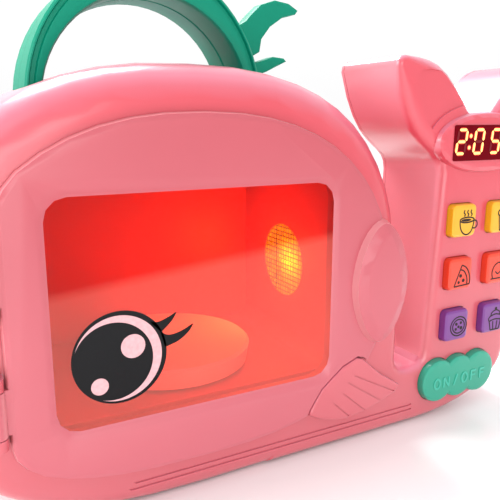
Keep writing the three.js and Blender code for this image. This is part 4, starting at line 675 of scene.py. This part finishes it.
def make_eye():
    """The eye's black, its pale crescent and highlights, as thin layers of print."""
    front = PANE_FRONT - LAYER / 2
    black = bmesh.new()
    prism(black, oval(*EYE, EYE_RADIUS, steps=EYE_STEPS), front - LAYER, front)
    for lash in (UPPER_LASH, LOWER_LASH):
        prism(black, curve(lash, steps=4), front - LAYER, front)
    finish_mesh("eye_black", black, black_ink, "door")
    pale = bmesh.new()
    white = oval(*EYE_WHITE, EYE_WHITE_RADIUS, steps=EYE_STEPS)
    prism(pale, white, front - LAYER * 2, front - LAYER)
    finish_mesh("eye_white", pale, blush_ink, "door")
    pupil = bmesh.new()
    prism(pupil, oval(*PUPIL, PUPIL_RADIUS, steps=EYE_STEPS), front - LAYER * 3, front - LAYER * 2)
    finish_mesh("eye_pupil", pupil, black_ink, "door")
    lights = bmesh.new()
    for x, z, radius in HIGHLIGHTS:
        prism(lights, oval(x, z, radius), front - LAYER * 4, front - LAYER * 3)
    finish_mesh("eye_highlights", lights, blush_ink, "door")


# Icons on the square buttons, each as lines, rings and filled dots

BUTTON_X = 174.2
BUTTON_TOP = 119.9
BUTTON_PITCH = 31
BUTTON_COLUMNS = 2
BUTTON_FRONT = -4.2
ICON_SHIFT = (1.6, -0.8)
ICON_LINE = 0.85

STEAM = [(0, 3.3), (0.6, 4.4), (-0.4, 5.5), (0.2, 6.9)]
STEAM_PLACES = [-2.2, 0.5, 3.2]
CUP_BOWL = [
    (-5.3, 1.2),
    (-4.9, -2),
    (-3.6, -5),
    (-1.2, -6.9),
    (1.6, -7.1),
    (4, -5.4),
    (5.4, -2),
    (5.7, 1.2),
]
CUP_HANDLE = arc(6.2, -1.6, 2.3, 110, -120)
CUP = [curve(CUP_BOWL), CUP_HANDLE] + [curve(shifted(STEAM, x, 0)) for x in STEAM_PLACES]
CUP_RINGS = [oval(0.2, 1.2, 5.5, 1.5)]
CUP_DOTS = [(-0.4, 1.1, 3.9, 0.8)]
POPCORN = [
    [(-4.6, 2), (-3.4, -7)],
    [(-3.4, -7), (3.4, -7)],
    [(3.4, -7), (4.6, 2)],
    [(-1.7, 1.6), (-1.3, -7)],
    [(1.7, 1.6), (1.3, -7)],
    [(-4.9, 2), (4.9, 2)],
    arc(-3.5, 3.4, 1.9, 230, 60),
    arc(0, 4.9, 2.2, 190, -10),
    arc(3.5, 3.4, 1.9, 120, -50),
]
PIZZA = [
    [(-6.2, -6.4), (-0.9, 6)],
    [(-6.2, -6.4), (6, -5.8)],
    curve([(-0.9, 6), (2.4, 4.4), (4.9, 1.2), (6, -2.4), (6, -5.8)]),
    curve([(-1.9, 3.4), (0.8, 2.4), (2.9, -0.2), (3.9, -3), (3.8, -5.8)]),
]
PIZZA_DOTS = [(-1.5, -0.3, 1.1), (0.9, -3.2, 1.1), (-2.7, -4.1, 0.9)]
CHICKEN_BODY = [
    (-5.6, -5),
    (-6.4, -1.6),
    (-5, 2.2),
    (-1.6, 4.2),
    (1.8, 3.4),
    (3.8, 0.8),
    (4.2, -2.2),
    (3.4, -5),
]
CHICKEN = [
    [(-7.2, -5.4), (7.2, -5.4)],
    curve(CHICKEN_BODY),
    curve([(-3.6, -1), (-1.6, -2.6), (0.6, -1.4), (1.6, 0.8)]),
    [(4.4, 1.8), (6.2, 4.2)],
]
CHICKEN_DOTS = [(6, 5.1, 0.9), (7, 4.2, 0.9)]
COOKIE_RINGS = [oval(0, 0, 6.4, 5.8), oval(0, 0, 4.7, 4.2)]
COOKIE_DOTS = [(-1.9, 1.5, 1), (1.7, 1.9, 0.9), (0, -0.4, 0.9), (-2.1, -1.6, 0.9), (2.1, -1.3, 1.1)]
CUPCAKE_CROWN = [
    (-5.2, -1.2),
    (-5.7, 0.6),
    (-4, 2.2),
    (-3.4, 4),
    (0, 5.4),
    (3.4, 4),
    (4, 2.2),
    (5.7, 0.6),
    (5.2, -1.2),
]
CUPCAKE = [
    [(-5, -1.2), (-3.6, -7)],
    [(-3.6, -7), (3.6, -7)],
    [(3.6, -7), (5, -1.2)],
    [(-1.8, -1.6), (-1.3, -7)],
    [(1.8, -1.6), (1.3, -7)],
    curve(CUPCAKE_CROWN),
    curve([(-5.2, -1.2), (0, -0.4), (5.2, -1.2)]),
    curve([(-3.9, 2), (0, 2.8), (3.9, 2)]),
]
CUPCAKE_DOTS = [(0, 6.3, 1)]
ICONS = [
    (CUP, CUP_RINGS, CUP_DOTS),
    (POPCORN, [], []),
    (PIZZA, [], PIZZA_DOTS),
    (CHICKEN, [], CHICKEN_DOTS),
    ([], COOKIE_RINGS, COOKIE_DOTS),
    (CUPCAKE, [], CUPCAKE_DOTS),
]


def make_icons():
    """A plain line picture of a food on each square button."""
    for number, (lines, rings, dots) in enumerate(ICONS):
        row, column = divmod(number, BUTTON_COLUMNS)
        x = BUTTON_X + (column - (BUTTON_COLUMNS - 1) / 2) * BUTTON_PITCH + ICON_SHIFT[0]
        z = BUTTON_TOP - row * BUTTON_PITCH + ICON_SHIFT[1]
        made = bmesh.new()
        depth = BUTTON_FRONT - LAYER
        for points in lines:
            line(made, shifted(points, x, z), ICON_LINE, depth, BUTTON_FRONT)
            depth -= STROKE_STEP
        for points in rings:
            line(made, shifted(points, x, z), ICON_LINE, depth, BUTTON_FRONT, closed=True)
            depth -= STROKE_STEP
        for dot in dots:
            prism(made, oval(x + dot[0], z + dot[1], *dot[2:], steps=DOT_STEPS), depth, BUTTON_FRONT)
            depth -= STROKE_STEP
        body = f"push_button_{number + 1}"
        finish_mesh(f"icon_{number + 1}", made, icon_ink, body)


# Raised letters of the start button

START = (164.8, 23.4)
LETTER_STEP = 7.4
LETTER_LINE = 1.1
LETTER_OUT = 0.4
LETTER_O_HALF = (2.2, 3)
LETTER_O_RING = oval(0, 0, *LETTER_O_HALF, steps=16) + [(LETTER_O_HALF[0], 0)]
LETTER_O = [curve(LETTER_O_RING, steps=2)]
LETTER_N = [[(-2, -3), (-2, 3)], [(-2, 3), (2, -3)], [(2, -3), (2, 3)]]
LETTER_F = [[(-1.8, -3), (-1.8, 3)], [(-2.3, 3), (2, 3)], [(-1.8, 0.3), (1.4, 0.3)]]
LETTER_SLASH = [[(-1.3, -3.4), (1.3, 3.4)]]
LETTERS = [LETTER_O, LETTER_N, LETTER_SLASH, LETTER_O, LETTER_F, LETTER_F]


def make_letters():
    """ON / OFF in raised strokes, in a lighter green than the key: a painted highlight."""
    made = bmesh.new()
    depth = BUTTON_FRONT - LETTER_OUT
    for place_in_word, strokes in enumerate(LETTERS):
        x = START[0] + (place_in_word - (len(LETTERS) - 1) / 2) * LETTER_STEP
        for points in strokes:
            line(made, shifted(points, x, START[1]), LETTER_LINE, depth, BUTTON_FRONT)
            depth -= STROKE_STEP
    finish_mesh("start_letters", made, lit_letter_green, "start_key")


# The display's cover and digits, on the face of its oval bezel

BEZEL_FRONT = -3.2
COVER_FRONT = -3.7
COVER = (174.2, 163.2)
COVER_HALF = (27.4, 9.7)
COVER_CORNER = 1.2
QUARTER_TURN = 90
DIGIT_LEFT = 148.2
DIGIT_LOW = 157.5
DIGIT_STEP = 13.2
DIGIT_WIDTH = 6.4
DIGIT_HEIGHT = 12.8
DIGIT_SLANT = 0.12
DIGIT_LINE = 1.4
HALO_LINE = 2.4
SEGMENT_GAP = 0.35
COLON = [(158.9, 167.0), (158.1, 160.7)]
COLON_RADIUS = 0.95
COLON_HALO_RADIUS = 1.5
SEGMENTS = {
    "top": ((0, 2), (1, 2)),
    "middle": ((0, 1), (1, 1)),
    "bottom": ((0, 0), (1, 0)),
    "high_left": ((0, 1), (0, 2)),
    "high_right": ((1, 1), (1, 2)),
    "low_left": ((0, 0), (0, 1)),
    "low_right": ((1, 0), (1, 1)),
}
LIT = [
    ["top", "high_right", "middle", "low_left", "bottom"],
    ["top", "high_left", "high_right", "low_left", "low_right", "bottom"],
    ["top", "high_left", "middle", "low_right", "bottom"],
]


def segment(start, end, width):
    """A pointed bar between two places."""
    first, second = Vector(start), Vector(end)
    along = (second - first).normalized()
    side = Vector((-along.y, along.x)) * width / 2
    first += along * SEGMENT_GAP
    second -= along * SEGMENT_GAP
    near = first + along * width / 2
    far = second - along * width / 2
    return [tuple(p) for p in (first, near - side, far - side, second, far + side, near + side)]


def make_cover():
    """The display's dark red cover, a plate with round corners."""
    cover = bmesh.new()
    outline = []
    for turn, (across, up) in enumerate(((1, 1), (-1, 1), (-1, -1), (1, -1))):
        x = COVER[0] + across * (COVER_HALF[0] - COVER_CORNER)
        z = COVER[1] + up * (COVER_HALF[1] - COVER_CORNER)
        start = turn * QUARTER_TURN
        outline += arc(x, z, COVER_CORNER, start, start + QUARTER_TURN, steps=5)
    prism(cover, outline, COVER_FRONT, BEZEL_FRONT)
    finish_mesh("display_cover", cover, display_red, "casing")


def make_digits():
    """The time on the display, as lit bars with a halo behind them."""
    halo_front = COVER_FRONT - LAYER
    digit_front = halo_front - LAYER
    lit = bmesh.new()
    dark = bmesh.new()
    halo = bmesh.new()
    for number, names in enumerate(LIT):
        left = DIGIT_LEFT + number * DIGIT_STEP
        for name, ends in SEGMENTS.items():
            places = []
            for across, up in ends:
                z = up * DIGIT_HEIGHT / 2
                places.append((left + across * DIGIT_WIDTH + z * DIGIT_SLANT, DIGIT_LOW + z))
            made = lit if name in names else dark
            prism(made, segment(*places, DIGIT_LINE), digit_front, halo_front)
            if name in names:
                prism(halo, segment(*places, HALO_LINE), halo_front, COVER_FRONT)
    for x, z in COLON:
        prism(lit, oval(x, z, COLON_RADIUS, steps=DOT_STEPS), digit_front, halo_front)
        prism(halo, oval(x, z, COLON_HALO_RADIUS, steps=DOT_STEPS), halo_front, COVER_FRONT)
    finish_mesh("lit_digits", lit, lit_digits, "casing")
    finish_mesh("unlit_digits", dark, unlit_digits, "casing")
    finish_mesh("digit_halo", halo, digit_halo, "casing")


# Surroundings, in metres where no unit stands

CAMERA_PLACE = Vector((-106.55, -242.54, 175.86)) * MM
CAMERA_PITCH = math.radians(12.28)
CAMERA_YAW = math.radians(28.17)
CAMERA_ROLL = math.radians(-0.1)
CAMERA_LENS = 43.33
CAMERA_SENSOR = 36
CAMERA_NEAR = 10 * MM

FLOOR_REACH = 6
FLOOR_GREY = (0.86, 0.86, 0.87)
FLOOR_WHITE = (0.9, 0.9, 0.9)
FLOOR_ROUGHNESS = 0.2

SKY_LOW = (0.97, 0.97, 0.97)
SKY_HIGH = (1.25, 1.25, 1.27)
SKY_HIGH_FROM = 0.7

# Soft lamps: name, place, point looked at, size and power
SOFT_LAMPS = [
    ("key", (-0.9, -1.0, 1.3), (0, 0, 0.1), 0.7, 1.5),
    ("top", (-0.1, 0.75, 1.25), (0, 0, 0.1), 0.7, 34),
    ("side", (-1.2, 0.22, 0.5), (0, 0, 0.15), 0.5, 12),
    ("low", (-0.3, -1.3, 0.25), (0, 0, 0.05), 0.8, 8),
]

OVEN_LAMP_POWER = 0.17
OVEN_LAMP_COLOUR = (1, 0.42, 0.1)
OVEN_LAMP_RADIUS = 12 * MM
OVEN_LAMP_FROM_LENS = 16 * MM


def make_camera():
    """The camera at the photograph's viewing angle."""
    data = bpy.data.cameras.new("camera")
    data.lens = CAMERA_LENS
    data.sensor_width = CAMERA_SENSOR
    data.clip_start = CAMERA_NEAR
    camera = bpy.data.objects.new("camera", data)
    camera.location = ORIGIN + CAMERA_PLACE
    camera.rotation_mode = "XYZ"
    camera.rotation_euler = (math.pi / 2 - CAMERA_PITCH, CAMERA_ROLL, -CAMERA_YAW)
    bpy.context.scene.collection.objects.link(camera)
    bpy.context.scene.camera = camera


def make_floor():
    """A pale floor."""
    made = bmesh.new()
    corners = [(-1, -1), (1, -1), (1, 1), (-1, 1)]
    made.faces.new([made.verts.new((x * FLOOR_REACH, y * FLOOR_REACH, 0)) for x, y in corners])
    data = bpy.data.meshes.new("floor")
    made.to_mesh(data)
    made.free()
    material, tree, shader = new_material("floor")
    drift = spread(tree, noise(tree, scale=3, detail=3), 0, 1)
    mixed = blend_colours(tree, drift, FLOOR_GREY, FLOOR_WHITE)
    tree.links.new(mixed, shader.inputs["Base Color"])
    shader.inputs["Roughness"].default_value = FLOOR_ROUGHNESS
    data.materials.append(material)
    floor = bpy.data.objects.new("floor", data)
    bpy.context.scene.collection.objects.link(floor)


def make_sky():
    """A pale sky that grows brighter upwards."""
    world = bpy.data.worlds.new("world")
    world.use_nodes = True
    tree = world.node_tree
    background = tree.nodes["Background"]
    height = spread(tree, split_coordinates(tree, "Generated")["Z"], 0, 1, 0, SKY_HIGH_FROM)
    tree.links.new(blend_colours(tree, height, SKY_LOW, SKY_HIGH), background.inputs["Color"])
    background.inputs["Strength"].default_value = 1
    bpy.context.scene.world = world


def make_soft_lamp(name, location, target, size, power):
    """A soft square lamp that looks at a point."""
    data = bpy.data.lights.new(name, "AREA")
    data.shape = "SQUARE"
    data.size = size
    data.energy = power
    lamp = bpy.data.objects.new(name, data)
    lamp.location = location
    lamp.rotation_euler = (Vector(target) - Vector(location)).to_track_quat("-Z", "Y").to_euler()
    bpy.context.scene.collection.objects.link(lamp)


def make_oven_lamp():
    """The toy's own lamp, which lights the oven from in front of its lens."""
    data = bpy.data.lights.new("oven_lamp", "POINT")
    data.energy = OVEN_LAMP_POWER
    data.color = OVEN_LAMP_COLOUR
    data.shadow_soft_size = OVEN_LAMP_RADIUS
    lamp = bpy.data.objects.new("oven_lamp", data)
    low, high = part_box("lamp_lens")
    lamp.location = (low.x - OVEN_LAMP_FROM_LENS, (low.y + high.y) / 2, (low.z + high.z) / 2)
    lamp.visible_transmission = False
    lamp.visible_glossy = False
    lamp.visible_camera = False
    bpy.context.scene.collection.objects.link(lamp)


make_camera()
make_floor()
make_sky()
for soft_lamp in SOFT_LAMPS:
    make_soft_lamp(*soft_lamp)
make_oven_lamp()
dress_nodes()
make_eye()
make_icons()
make_letters()
make_cover()
make_digits()

bpy.context.scene.view_settings.view_transform = "Standard"
